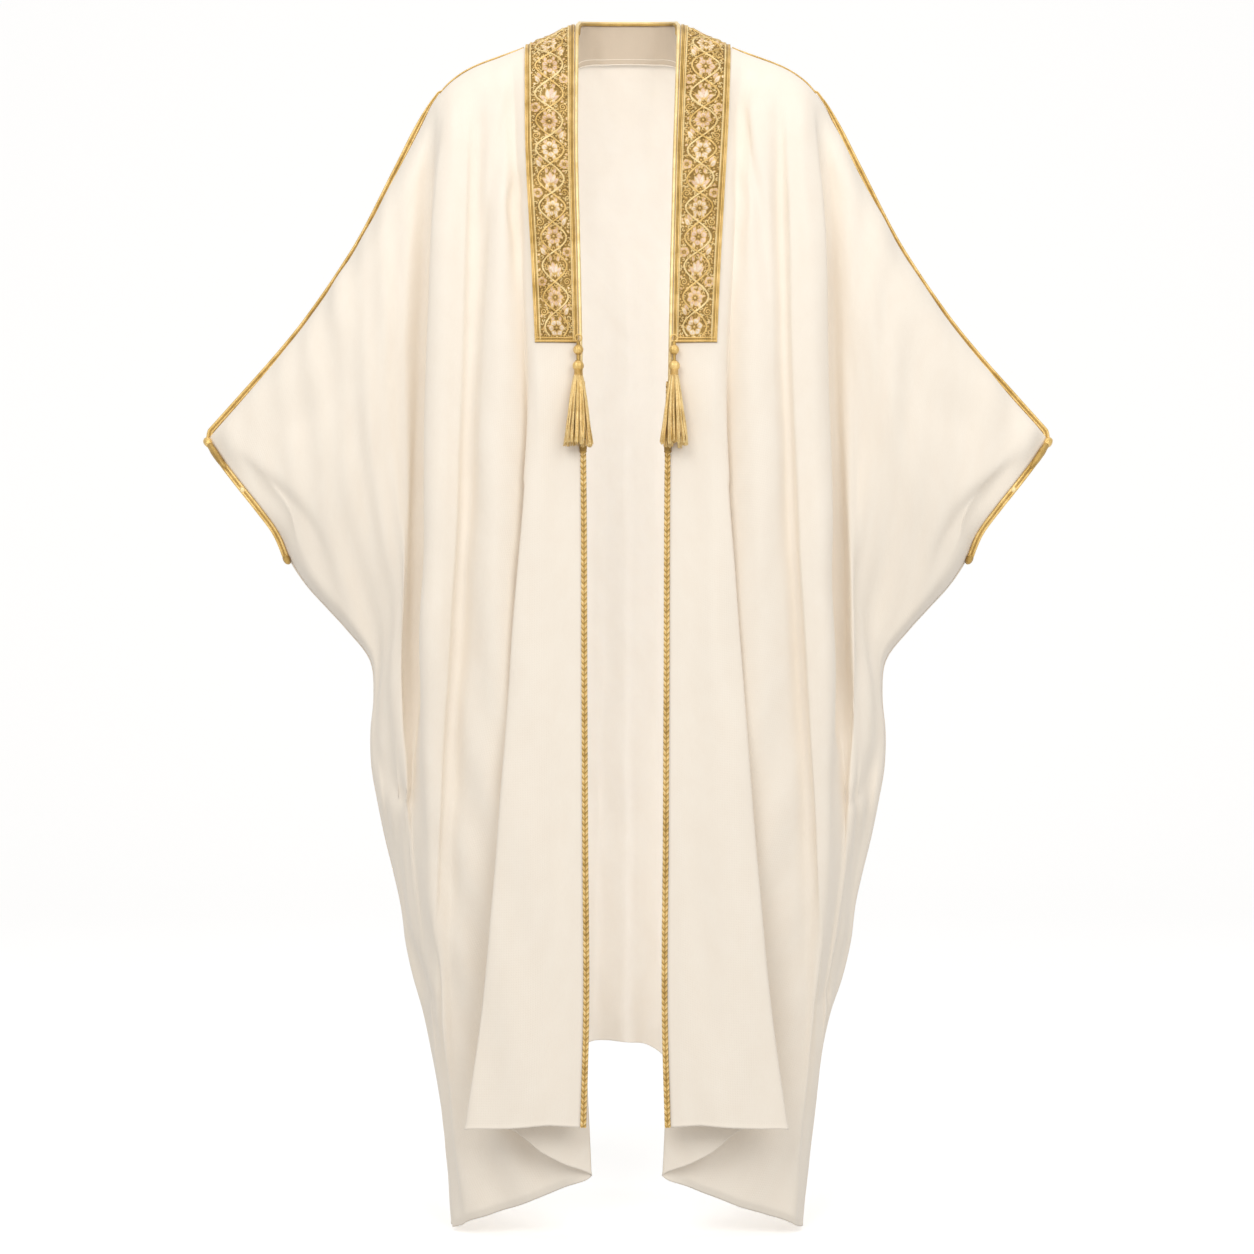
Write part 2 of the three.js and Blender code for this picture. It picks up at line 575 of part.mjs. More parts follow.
// A strip on the front edge: a plain field with a raised border down both sides and across the bottom.
function band(sheet) {
  const perColumn = sheet.net[CUFF_ROW][0].distanceTo(sheet.net[CUFF_ROW][1]);
  const sizes = [BAND.edge, BAND.borderWidth, BAND.borderWidth + BAND.slope];
  const sideSteps = sizes.map((size) => size / perColumn);
  const columns = [
    ...sideSteps.map((at, k) => ({ at, raised: k < 2 })),
    ...[1, 2].map((at) => ({ at, raised: false })),
    ...sideSteps.reverse().map((step, k) => ({ at: BAND_COLUMNS - step, raised: k > 0 })),
  ];
  const fieldEnd = BAND.bottom + BAND.borderWidth + BAND.slope;
  const wholeRows = Math.floor(rowAt(sheet, BAND_COLUMNS, fieldEnd)) + 1;
  const rows = [
    ...Array.from({ length: wholeRows }, (_, at) => ({ at, raised: false })),
    { height: fieldEnd, raised: false },
    { height: BAND.bottom + BAND.borderWidth, raised: true },
    { height: BAND.bottom, raised: true },
  ];
  const placed = rows.map((row) => columns.map((column) => {
    return onNet(sheet, row.at ?? rowAt(sheet, column.at, row.height), column.at);
  }));
  const net = placed.map((row) => row.map((spot) => spot.point));
  const normals = placed.map((row) => row.map((spot) => spot.normal));
  const heightAt = (i, j) => (rows[i].raised || columns[j].raised ? BAND.border : BAND.field);
  return wall(net, normals, heightAt, CLOTH / 2 + GAP);
}

for (const [name, sheet] of Object.entries(fronts)) add(`${name}_band`, band(sheet), GOLD_EMBROIDERY);

// ---------------------------------------------------------------- cords

const CORD_SIDES = 8;
const CORDS = { neck: 2.5, front: 3.6, shoulder: 1.3, arm: 3, cuff: 3.3 }; // radii
const CORD_JOIN = -437; // height where the neck cord ends and the front cord starts, behind the tassel

// A path with one even step for each stretch between its points.
class Route extends THREE.Curve {
  constructor(points) {
    super();
    this.points = points;
  }

  getPoint(t) {
    const at = Math.min(t, 1) * (this.points.length - 1);
    const i = Math.max(0, Math.min(Math.floor(at), this.points.length - 2));
    return this.points[i].clone().lerp(this.points[i + 1], at - i);
  }

  getUtoTmapping(u) {
    return u;
  }
}

// A round cord through a list of points.
function cord(points, radius) {
  const section = new THREE.Shape(Array.from({ length: CORD_SIDES }, (_, k) => {
    const turn = (2 * Math.PI * k) / CORD_SIDES;
    return new THREE.Vector2(radius * Math.cos(turn), radius * Math.sin(turn));
  }));
  const extrudePath = new Route(points);
  return new THREE.ExtrudeGeometry(section, { steps: points.length - 1, bevelEnabled: false, extrudePath });
}

// Points beside an edge, a distance out from the sheet that `inner` points lie on.
function beside(edge, inner, distance) {
  return edge.map((point, i) => {
    const along = edge[Math.min(i + 1, edge.length - 1)].clone().sub(edge[Math.max(i - 1, 0)]).normalize();
    const away = point.clone().sub(inner[i]);
    away.addScaledVector(along, -away.dot(along)).normalize();
    return point.clone().addScaledVector(away, distance);
  });
}

// Points beside the front edge between two fractional rows, from the upper to the lower.
function besideFrontEdge(sheet, upper, lower, distance) {
  const between = Array.from({ length: sheet.net.length }, (_, i) => i).filter((i) => i > upper && i < lower);
  const rows = [upper, ...between, lower];
  const column = (at) => rows.map((row) => onNet(sheet, row, at).point);
  return beside(column(0), column(1), distance);
}

// The neck cord runs up one front edge, round the back of the neck and down the other.
const neckOut = CORDS.neck + GAP;
const upToNeck = (sheet) => besideFrontEdge(sheet, 0, rowAt(sheet, 0, CORD_JOIN), neckOut);
const neckSlice = (row) => row.slice(backCentre - FACING.columns, backCentre + FACING.columns + 1);
const roundNeck = beside(neckSlice(back[0]), neckSlice(back[1]), neckOut);
const neckRoute = [...upToNeck(fronts.right).reverse(), ...roundNeck, ...upToNeck(fronts.left)];
add('neck_cord', cord(neckRoute, CORDS.neck), GOLD_THREAD);

for (const [name, sheet] of Object.entries(fronts)) {
  const start = rowAt(sheet, 0, CORD_JOIN - 3 * GAP);
  const route = besideFrontEdge(sheet, start, sheet.net.length - 1, CORDS.front + GAP);
  add(`${name}_front_cord`, cord(route, CORDS.front), GOLD_THREAD);
}

// Along the shoulder seam a thin piping lies from the band to the shoulder, then a thick cord to the tip.
const SEAM_CORDS = [
  { name: 'shoulder_piping', radius: CORDS.shoulder, from: 124, to: 222 },
  { name: 'arm_cord', radius: CORDS.arm, from: 224, to: 498 },
];
const SHORTEST_STEP = 0.2; // in columns, from a cord's end to its next point

for (const [name, sheet] of Object.entries(fronts)) {
  const columnAt = (across) => {
    const distances = sheet.net[0].map((point) => Math.abs(point.x));
    const j = Math.min(distances.findIndex((distance) => distance > across - 1e-6), lastColumn(sheet.net));
    return j - (distances[j] - across) / (distances[j] - distances[j - 1]);
  };
  for (const { name: kind, radius, from, to } of SEAM_CORDS) {
    const first = columnAt(from);
    const last = columnAt(to);
    const columns = sheet.net[0].map((_, j) => j);
    const between = columns.filter((j) => j > first + SHORTEST_STEP && j < last - SHORTEST_STEP);
    const route = [first, ...between, last].map((column) => {
      const { point, normal } = onNet(sheet, 0, column);
      return point.addScaledVector(normal, CLOTH / 2 + 2 * GAP + radius).setY(0);
    });
    add(`${name}_${kind}`, cord(route, radius), GOLD_THREAD);
  }
}

// A cord beside each edge of the cuff opening, clear of the other one where the edges meet.
const CUFF_START = 1; // below the tip

// depth: -1 for the front edge and 1 for the back edge.
function cuffRoute(net, edgeColumn, depth) {
  const edge = net.slice(0, CUFF_ROW + 1).map((row) => row[edgeColumn]);
  const tip = edge[0];
  const below = edge.filter((point) => point.distanceTo(tip) > CUFF_START);
  const start = below[0].clone().sub(tip).setLength(CUFF_START).add(tip);
  const points = [start, ...below];
  return points.map((point, i) => {
    const along = points[Math.min(i + 1, points.length - 1)].clone().sub(points[Math.max(i - 1, 0)]).setY(0);
    const away = new THREE.Vector3(-along.z, 0, along.x).normalize();
    if (away.x * tip.x < 0) away.negate();
    const moved = point.clone().addScaledVector(away, CORDS.cuff + GAP + CLOTH / 2);
    return moved.setY(depth * Math.max(Math.abs(point.y), CORDS.cuff + GAP / 2));
  });
}

for (const [name, sheet] of Object.entries(fronts)) {
  const backColumn = sheet.side < 0 ? 0 : lastColumn(back);
  const frontRoute = cuffRoute(sheet.net, lastColumn(sheet.net), -1);
  add(`${name}_cuff_front_cord`, cord(frontRoute, CORDS.cuff), GOLD_THREAD);
  add(`${name}_cuff_back_cord`, cord(cuffRoute(back, backColumn, 1), CORDS.cuff), GOLD_THREAD);
}

// ---------------------------------------------------------------- tassels

// A ring, two beads and a bound head in one piece, with strands that hang apart from the head.
// at: distance below the ring's centre.
const TASSEL_HEAD = [
  { part: 'stem', at: 3.6, radius: 0 },
  { part: 'stem', at: 3.6, radius: 1.2 },
  { part: 'stem', at: 7.5, radius: 1.4 },
  { part: 'upper bead', at: 8.5, radius: 3.4 },
  { part: 'upper bead', at: 10.8, radius: 5.3 },
  { part: 'upper bead', at: 13.2, radius: 5.7 },
  { part: 'upper bead', at: 15.8, radius: 5.1 },
  { part: 'upper bead', at: 18, radius: 2.8 },
  { part: 'waist', at: 19.5, radius: 1.8 },
  { part: 'waist', at: 24.5, radius: 1.8 },
  { part: 'lower bead', at: 26, radius: 3.6 },
  { part: 'lower bead', at: 28.4, radius: 5.9 },
  { part: 'lower bead', at: 31.4, radius: 6.3 },
  { part: 'lower bead', at: 34.4, radius: 5.7 },
  { part: 'lower bead', at: 37, radius: 4 },
  { part: 'collar', at: 42.5, radius: 4 },
  { part: 'head', at: 43.5, radius: 5.3 },
  { part: 'head', at: 48, radius: 5.9 },
  { part: 'head', at: 48, radius: 0 },
];
const RING = { radius: 4, wire: 0.9, wireSides: 6, steps: 12 };
const TASSEL_HEAD_SIDES = 10;
// Strands run from inside the head to uneven ends. turn: how far each one is turned from the one before.
const STRANDS = {
  sides: 3, rootAt: 46, endAt: 127, rootRadius: 0.5, endRadius: 1.5, rootSpread: 0.29, uneven: 2, turn: 2.4,
};
const STRAND_RINGS = [
  { count: 20, width: 16.2, depth: 11 },
  { count: 13, width: 10.4, depth: 7 },
  { count: 6, width: 4.6, depth: 3.2 },
];
const TASSELS = { right: { across: -57 }, left: { across: 53 } };
const TASSEL_HANG = { out: 129.5, height: -388, lean: 0.12 }; // the ring's centre, and radians forward

function manifoldOf(geometry) {
  const bare = geometry.clone();
  bare.deleteAttribute('normal');
  bare.deleteAttribute('uv');
  const merged = mergeVertices(bare, 1e-4);
  return new wasm.Manifold(new wasm.Mesh({
    numProp: 3,
    vertProperties: merged.attributes.position.array,
    triVerts: new Uint32Array(merged.index.array),
  }));
}

function geometryOf(manifold) {
  const { vertProperties, triVerts } = manifold.getMesh();
  return new THREE.BufferGeometry()
    .setAttribute('position', new THREE.BufferAttribute(vertProperties, 3))
    .setIndex(new THREE.BufferAttribute(triVerts, 1));
}

// A three-sided strand that widens from its root to its free end.
function strand(root, end, turn) {
  const axis = root.clone().sub(end);
  const upright = new THREE.Vector3(0, 1, 0);
  const along = new THREE.Quaternion().setFromUnitVectors(upright, axis.clone().normalize());
  return new THREE.CylinderGeometry(STRANDS.rootRadius, STRANDS.endRadius, axis.length(), STRANDS.sides)
    .rotateY(turn)
    .applyQuaternion(along)
    .translate(...root.clone().add(end).multiplyScalar(0.5).toArray());
}

// A whole tassel, its ring's centre at the origin and its axis down -Z.
function tassel() {
  const profile = TASSEL_HEAD.map((row) => new THREE.Vector2(row.radius, -row.at)).reverse();
  const head = new THREE.LatheGeometry(profile, TASSEL_HEAD_SIDES).rotateX(Math.PI / 2);
  const ring = new THREE.TorusGeometry(RING.radius, RING.wire, RING.wireSides, RING.steps)
    .rotateY(Math.PI / 2);
  const pieces = [head, ring];
  STRAND_RINGS.forEach(({ count, width, depth }, k) => {
    for (let i = 0; i < count; i++) {
      const angle = (2 * Math.PI * (i + 0.5 * k)) / count;
      const spot = new THREE.Vector3(width * Math.cos(angle), depth * Math.sin(angle), 0);
      const root = spot.clone().multiplyScalar(STRANDS.rootSpread).setZ(-STRANDS.rootAt);
      const length = STRANDS.endAt + STRANDS.uneven * Math.sin(5 * i + 2 * k);
      pieces.push(strand(root, spot.setZ(-length), STRANDS.turn * i));
    }
  });
  return geometryOf(pieces.map(manifoldOf).reduce((sum, piece) => sum.add(piece)));
}

for (const name of Object.keys(SIDES)) {
  add(`${name}_tassel`, tassel(), GOLD_SILK);
  const mesh = garment.children.at(-1);
  mesh.position.set(TASSELS[name].across, -TASSEL_HANG.out, TASSEL_HANG.height);
  mesh.rotation.x = -TASSEL_HANG.lean;
}

export default garment;
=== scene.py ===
"""The looks of an open-front ivory cloak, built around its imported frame: fine cloth shells with soft folds,
twisted gold cords, embroidered front bands and silk tassels. Lengths are in metres."""

import math

import bpy
import numpy as np
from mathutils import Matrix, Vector


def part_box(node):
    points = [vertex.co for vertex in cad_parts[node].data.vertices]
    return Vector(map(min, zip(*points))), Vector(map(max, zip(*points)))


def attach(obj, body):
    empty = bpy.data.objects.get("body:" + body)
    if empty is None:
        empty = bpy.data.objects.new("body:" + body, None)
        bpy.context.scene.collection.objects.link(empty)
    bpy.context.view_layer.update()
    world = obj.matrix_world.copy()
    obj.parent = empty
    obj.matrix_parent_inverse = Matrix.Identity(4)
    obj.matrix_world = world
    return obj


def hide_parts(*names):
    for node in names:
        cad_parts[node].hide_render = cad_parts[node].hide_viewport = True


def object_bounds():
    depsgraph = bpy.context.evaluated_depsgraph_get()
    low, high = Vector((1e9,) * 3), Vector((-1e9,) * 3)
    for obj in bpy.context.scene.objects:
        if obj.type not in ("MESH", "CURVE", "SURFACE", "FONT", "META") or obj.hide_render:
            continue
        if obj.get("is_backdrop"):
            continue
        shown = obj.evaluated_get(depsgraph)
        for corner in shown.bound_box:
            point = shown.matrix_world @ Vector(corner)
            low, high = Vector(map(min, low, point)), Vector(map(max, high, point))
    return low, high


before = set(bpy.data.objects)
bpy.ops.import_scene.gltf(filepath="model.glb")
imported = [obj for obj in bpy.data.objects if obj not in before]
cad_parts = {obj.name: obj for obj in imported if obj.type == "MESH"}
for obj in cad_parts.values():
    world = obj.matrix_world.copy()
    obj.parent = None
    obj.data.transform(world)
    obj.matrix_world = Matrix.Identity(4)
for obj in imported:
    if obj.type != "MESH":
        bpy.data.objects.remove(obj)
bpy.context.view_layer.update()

# ---------------------------------------------------------------- camera, light and stage

CAMERA = {"place": (-0.0012, -3.0, -0.720), "sensor": 36.0, "lens": 71.77, "near": 0.1, "far": 100}
FLOOR_BELOW = 0.002      # under the lowest hem
BACKDROP = {"front": -9.0, "bend": 3.2, "radius": 2.5, "steps": 12, "top": 7.0, "half_width": 14.0}


def make_camera():
    """A camera level with the middle of the garment, looking along +Y."""
    data = bpy.data.cameras.new("camera")
    data.sensor_width = CAMERA["sensor"]
    data.lens = CAMERA["lens"]
    data.clip_start = CAMERA["near"]
    data.clip_end = CAMERA["far"]
    camera = bpy.data.objects.new("camera", data)
    camera.location = CAMERA["place"]
    camera.rotation_euler = (math.radians(90), 0, 0)
    bpy.context.scene.collection.objects.link(camera)
    bpy.context.scene.camera = camera


WHITE = (1, 1, 1)
# Soft boxes: where each one stands, what it faces, its size and its power in watts. The last one is a strip
# lamp hidden between the fronts, as in product photographs, so that the inside of the back isn't dark.
SOFT_BOXES = {
    "key": {"place": (-1.1, -3.0, 1.3), "at": (0, 0, -0.3), "size": (1.6, 1.6), "watts": 35, "colour": WHITE},
    "fill": {"place": (1.5, -3, 0.9), "at": (0, 0, -0.3), "size": (1.8, 1.8), "watts": 32, "colour": WHITE},
    "top": {"place": (0.0, -0.4, 2.6), "at": (0, 0, -0.2), "size": (3.0, 2.0), "watts": 22, "colour": WHITE},
    "inner": {"place": (0.0, -0.07, -0.71), "at": (0, 1, -0.71), "size": (0.07, 1.27), "watts": 0.98,
              "colour": (0.89, 0.99, 1.13)},
}
SKY = {"colour": (1.0, 0.99, 0.975), "strength": 0.64}


def make_lights():
    """A bright even sky and soft boxes that the camera doesn't see."""
    world = bpy.data.worlds.new("studio")
    world.use_nodes = True
    background = world.node_tree.nodes["Background"]
    background.inputs["Color"].default_value = (*SKY["colour"], 1)
    background.inputs["Strength"].default_value = SKY["strength"]
    bpy.context.scene.world = world
    for name, box in SOFT_BOXES.items():
        data = bpy.data.lights.new(name, "AREA")
        data.shape = "RECTANGLE"
        data.size, data.size_y = box["size"]
        data.energy = box["watts"]
        data.color = box["colour"]
        lamp = bpy.data.objects.new(name, data)
        lamp.location = box["place"]
        lamp.rotation_euler = (Vector(box["at"]) - lamp.location).to_track_quat("-Z", "Y").to_euler()
        lamp.visible_camera = False
        bpy.context.scene.collection.objects.link(lamp)


def make_stage(floor_height):
    """A white floor that bends up into a backdrop."""
    profile = [(BACKDROP["front"], floor_height), (BACKDROP["bend"], floor_height)]
    for k in range(1, BACKDROP["steps"] + 1):
        turn = math.radians(90) * k / BACKDROP["steps"]
        away = BACKDROP["bend"] + BACKDROP["radius"] * math.sin(turn)
        profile.append((away, floor_height + BACKDROP["radius"] * (1 - math.cos(turn))))
    profile.append((profile[-1][0], BACKDROP["top"]))
    wide = BACKDROP["half_width"]
    points = [(side, y, z) for y, z in profile for side in (-wide, wide)]
    faces = [(2 * k, 2 * k + 1, 2 * k + 3, 2 * k + 2) for k in range(len(profile) - 1)]
    mesh = bpy.data.meshes.new("stage")
    mesh.from_pydata(points, [], faces)
    mesh.shade_smooth()
    mesh.materials.append(stage_material())
    stage = bpy.data.objects.new("stage", mesh)
    stage.visible_diffuse = False
    bpy.context.scene.collection.objects.link(stage)
    stage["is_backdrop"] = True


# ---------------------------------------------------------------- materials

STUDIO_WHITE = {"dark": (0.9, 0.9, 0.9), "light": (0.94, 0.94, 0.94), "mottle": 0.8, "roughness": 0.9,
                "glow": 0.32, "specular": 0.1}
# Cloth. clouds and slubs: how often they repeat in a metre across and down. deep: the bump, in threads.
WEAVE = {"sheen": 0.25, "sheen_roughness": 0.5, "specular": 0.25, "clouds": (9, 5, 1), "slubs": (900, 26, 1),
         "stops": (0.35, 0.65), "deep": 0.25, "bump": 0.35}
# The stops also set the thread's painted glints and painted shade.
WOUND = {"sheen": 0.1, "patches": 60.0, "stops": (0.36, 0.6), "deep": 0.0004}      # metal and silk thread


def new_material(name, **sockets):
    """A material and its shader with these socket values, written as in Sheen_Weight=0.1."""
    material = bpy.data.materials.new(name)
    material.use_nodes = True
    shader = material.node_tree.nodes["Principled BSDF"]
    for socket, value in sockets.items():
        shader.inputs[socket.replace("_", " ")].default_value = value
    return material, shader


def node(material, kind, inputs=None, **settings):
    """A new node with its settings, its socket values, and links from other nodes' output sockets."""
    made = material.node_tree.nodes.new(kind)
    for key, value in settings.items():
        setattr(made, key, value)
    for socket, value in (inputs or {}).items():
        if isinstance(value, bpy.types.NodeSocket):
            material.node_tree.links.new(value, made.inputs[socket])
        else:
            made.inputs[socket].default_value = value
    return made


def link(material, output, target):
    """Feeds an output socket into an input socket."""
    material.node_tree.links.new(output, target)


def ramp(material, factor, low, high, stops=(0.3, 0.7)):
    """A colour that runs from low to high as the factor goes from one stop to the other."""
    made = node(material, "ShaderNodeValToRGB", {"Fac": factor})
    made.color_ramp.elements[0].position = stops[0]
    made.color_ramp.elements[0].color = (*low, 1)
    made.color_ramp.elements[1].position = stops[1]
    made.color_ramp.elements[1].color = (*high, 1)
    return made.outputs["Color"]


def scaled(material, coordinates, scale):
    """Coordinates stretched by a scale for each axis."""
    mapping = node(material, "ShaderNodeMapping", {"Vector": coordinates, "Scale": scale})
    return mapping.outputs["Vector"]


def noise(material, **inputs):
    """The factor of a noise texture with these inputs."""
    return node(material, "ShaderNodeTexNoise", inputs).outputs["Fac"]


def combined(material, operation, first, second):
    """A maths operation on two numbers or output sockets."""
    return node(material, "ShaderNodeMath", {0: first, 1: second}, operation=operation).outputs[0]


def tint(material, shader, factors, low, high, stops):
    """Colours a shader from low to high by the mean of two factors."""
    mean = combined(material, "MULTIPLY", combined(material, "ADD", *factors), 0.5)
    link(material, ramp(material, mean, low, high, stops), shader.inputs["Base Color"])


def emboss(material, shader, height, distance, strength):
    """Bumps a shader's normals by a height."""
    bump = node(material, "ShaderNodeBump", {"Height": height, "Distance": distance, "Strength": strength})
    link(material, bump.outputs["Normal"], shader.inputs["Normal"])


def stage_material():
    """Matt white, with a little glow of its own so that it stays white at its far end."""
    white = STUDIO_WHITE
    material, shader = new_material("studio_white", Roughness=white["roughness"], Emission_Color=(1, 1, 1, 1),
                                    Emission_Strength=white["glow"], Specular_IOR_Level=white["specular"])
    mottled = noise(material, Scale=white["mottle"])
    link(material, ramp(material, mottled, white["dark"], white["light"]), shader.inputs["Base Color"])
    return material


def cloth_material(name, pale, deep, roughness, thread):
    """Woven wool and silk: threads both ways, slubs along the warp and a faint unevenness of colour.
    The texture runs with the cloth, along its map of metres across and down."""
    material, shader = new_material(name, Roughness=roughness, Sheen_Weight=WEAVE["sheen"],
                                    Sheen_Roughness=WEAVE["sheen_roughness"],
                                    Specular_IOR_Level=WEAVE["specular"])
    weave = node(material, "ShaderNodeUVMap", uv_map="weave").outputs["UV"]
    cloudy = noise(material, Vector=scaled(material, weave, WEAVE["clouds"]), Detail=3.0)
    slubs = noise(material, Vector=scaled(material, weave, WEAVE["slubs"]), Detail=2.0)
    tint(material, shader, (cloudy, slubs), deep, pale, WEAVE["stops"])
    scale = 1 / thread / math.tau * 0.5
    warp, weft = [node(material, "ShaderNodeTexWave", {"Vector": weave, "Scale": scale}, wave_type="BANDS",
                       bands_direction=way).outputs["Fac"] for way in "XY"]
    height = combined(material, "ADD", slubs, combined(material, "MULTIPLY", warp, weft))
    emboss(material, shader, height, thread * WEAVE["deep"], WEAVE["bump"])
    return material


def thread_material(name, bright, dark, metallic, roughness, grain=1600, bump=0.4):
    """Wound metal or silk thread in a gold that varies along it, with painted glints and painted shade in its
    hollows.
    """
    material, shader = new_material(name, Metallic=metallic, Roughness=roughness, Sheen_Weight=WOUND["sheen"])
    place = node(material, "ShaderNodeTexCoord").outputs["Object"]
    patches = noise(material, Vector=place, Scale=WOUND["patches"], Detail=3.0)
    glints = noise(material, Vector=place, Scale=float(grain), Detail=1.0)
    # Painted glints and painted shade: the colour follows the fine bumps, lighter on them and darker between
    # them.
    tint(material, shader, (patches, glints), dark, bright, WOUND["stops"])
    emboss(material, shader, glints, WOUND["deep"], bump)
    return material


CLOTH = cloth_material("ivory_cloth", (0.905, 0.825, 0.715), (0.88, 0.79, 0.675), 0.75, 0.0007)
# The facing's satin is darker than the cloth, partly its own tone and partly painted shade of the inside of
# the neck.
SHADED_SATIN = cloth_material("ivory_satin", (0.62, 0.51, 0.385), (0.57, 0.465, 0.35), 0.5, 0.0005)
GOLD = thread_material("gold_cord_thread", (0.92, 0.66, 0.27), (0.56, 0.34, 0.07), 0.5, 0.36)
# DARK_GOLD also serves as painted shade in gaps and under overhangs, and PALE_GOLD as a painted highlight on
# cord strands.
DARK_GOLD = thread_material("dark_gold_thread", (0.60, 0.39, 0.11), (0.33, 0.19, 0.04), 0.5, 0.42)
PALE_GOLD = thread_material("pale_gold_thread", (0.96, 0.78, 0.42), (0.74, 0.51, 0.18), 0.4, 0.38)
GROUND = thread_material("gold_ground", (0.37, 0.225, 0.05), (0.17, 0.095, 0.015), 0.4, 0.5, 900, bump=0.8)
PETAL = thread_material("ivory_silk", (0.88, 0.77, 0.63), (0.72, 0.54, 0.34), 0.0, 0.5, grain=700)
BLUSH = thread_material("blush_silk", (0.84, 0.64, 0.50), (0.66, 0.43, 0.27), 0.0, 0.5, grain=700)
CLOTH_THREAD = thread_material("ivory_thread", (0.90, 0.81, 0.69), (0.80, 0.70, 0.57), 0.0, 0.6, grain=900)
SILK = thread_material("gold_silk", (0.96, 0.75, 0.36), (0.74, 0.50, 0.17), 0.25, 0.38, grain=500)


# ---------------------------------------------------------------- meshes


class Pile:
    """Points and faces of many small forms, gathered into one mesh."""

    def __init__(self):
        self.points = []
        self.faces = []
        self.count = 0

    def add(self, points, *face_sets):
        """points: rows of three numbers. face_sets: arrays of corner numbers, each with faces of one kind."""
        self.points.append(np.asarray(points, float).reshape(-1, 3))
        for faces in face_sets:
            self.faces.extend((np.asarray(faces) + self.count).tolist())
        self.count += len(self.points[-1])

    def all_points(self):
        """The points of all the forms, in the order in which they were added."""
        return np.concatenate(self.points)


def make_piece(name, points, faces, material, replaces):
    """A mesh object on the root body, with its material in a slot, in place of these nodes."""
    mesh = bpy.data.meshes.new(name)
    mesh.from_pydata(np.asarray(points).tolist(), [], faces)
    mesh.shade_smooth()
    mesh.materials.append(material)
    piece = bpy.data.objects.new(name, mesh)
    bpy.context.scene.collection.objects.link(piece)
    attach(piece, "root")
    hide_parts(*replaces)
    return piece


def grid_faces(rows, columns, first=0, closed=False):
    """Quads of a grid of points; a closed one joins its last column to its first."""
    i, j = np.meshgrid(np.arange(rows - 1), np.arange(columns if closed else columns - 1), indexing="ij")
    a = first + i * columns + j
    b = first + i * columns + (j + 1) % columns
    return np.stack([a, a + columns, b + columns, b], axis=-1).reshape(-1, 4)
def ring_faces(rings, sides):
    """The faces round a row of rings, and a fan at each end to one of the two points after the rings."""
    around = np.arange(sides)
    after = (around + 1) % sides
    last = rings * sides
    start = np.stack([np.full(sides, last), around, after], axis=1)
    end = last - sides + np.stack([np.full(sides, sides + 1), after, around], axis=1)
    return grid_faces(rings, sides, closed=True), start, end


def shell_faces(rows, columns):
    """The faces of a thin closed shell: a grid of points, a like one below it, and the rim between them."""
    size = rows * columns
    number = np.arange(size).reshape(rows, columns)
    loop = np.concatenate([number[0, :-1], number[:-1, -1], number[-1, :0:-1], number[:0:-1, 0]])
    after = np.roll(loop, -1)
    rim = np.stack([loop, after, after + size, loop + size], axis=1)
    return np.concatenate([grid_faces(rows, columns), grid_faces(rows, columns, size)[:, ::-1], rim])


def unit(vectors):
    """The same directions with length 1."""
    return vectors / np.maximum(np.linalg.norm(vectors, axis=-1, keepdims=True), 1e-12)


def eased(values, low, high):
    """0 at low, 1 at high, smooth between."""
    share = np.clip((values - low) / (high - low), 0, 1)
    return share * share * (3 - 2 * share)


# ---------------------------------------------------------------- what the frame says
SAME_LENGTH = 0.00001    # edges this alike are equally long
FAR_OUT = 0.2            # farther from the centre than any front edge
FLAT_END = {"level": 2e-6, "alike": 0.9999, "round": 0.02}      # how exact a cord's flat round end is
def welded(name):
    """A node's points with no two alike, and its triangles."""
    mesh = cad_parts[name].data
    places = np.array([v.co for v in mesh.vertices], float)
    _, first, same = np.unique(np.round(places, 6), axis=0, return_index=True, return_inverse=True)
    triangles = same.reshape(-1)[np.array([p.vertices for p in mesh.polygons])]
    return places[first], triangles


def edges_of(triangles):
    """The edges of triangles as pairs of points, each one as often as it is used."""
    return np.concatenate([triangles[:, [0, 1]], triangles[:, [1, 2]], triangles[:, [2, 0]]])


def neighbours(triangles):
    """The points that share an edge with each point."""
    found = {}
    for a, b in edges_of(triangles).tolist():
        found.setdefault(a, set()).add(b)
        found.setdefault(b, set()).add(a)
    return found


def steps_from(start, near):
    """How many edges each point is away from the start points."""
    steps = {point: 0 for point in start}
    edge = list(start)
    while edge:
        edge = [b for a in edge for b in near[a] if b not in steps and not steps.update({b: steps[a] + 1})]
    return steps


def boundary_loop(triangles):
    """The points round an open skin, in order."""
    pairs = np.sort(edges_of(triangles), axis=1)
    single, count = np.unique(pairs, axis=0, return_counts=True)
    beside = {}
    for a, b in single[count == 1].tolist():
        beside.setdefault(a, []).append(b)
        beside.setdefault(b, []).append(a)
    start = min(beside)
    loop = [start, beside[start][0]]
    while loop[-1] != start:
        here, before = loop[-1], loop[-2]
        loop.append(next(point for point in beside[here] if point != before))
    return loop[:-1]


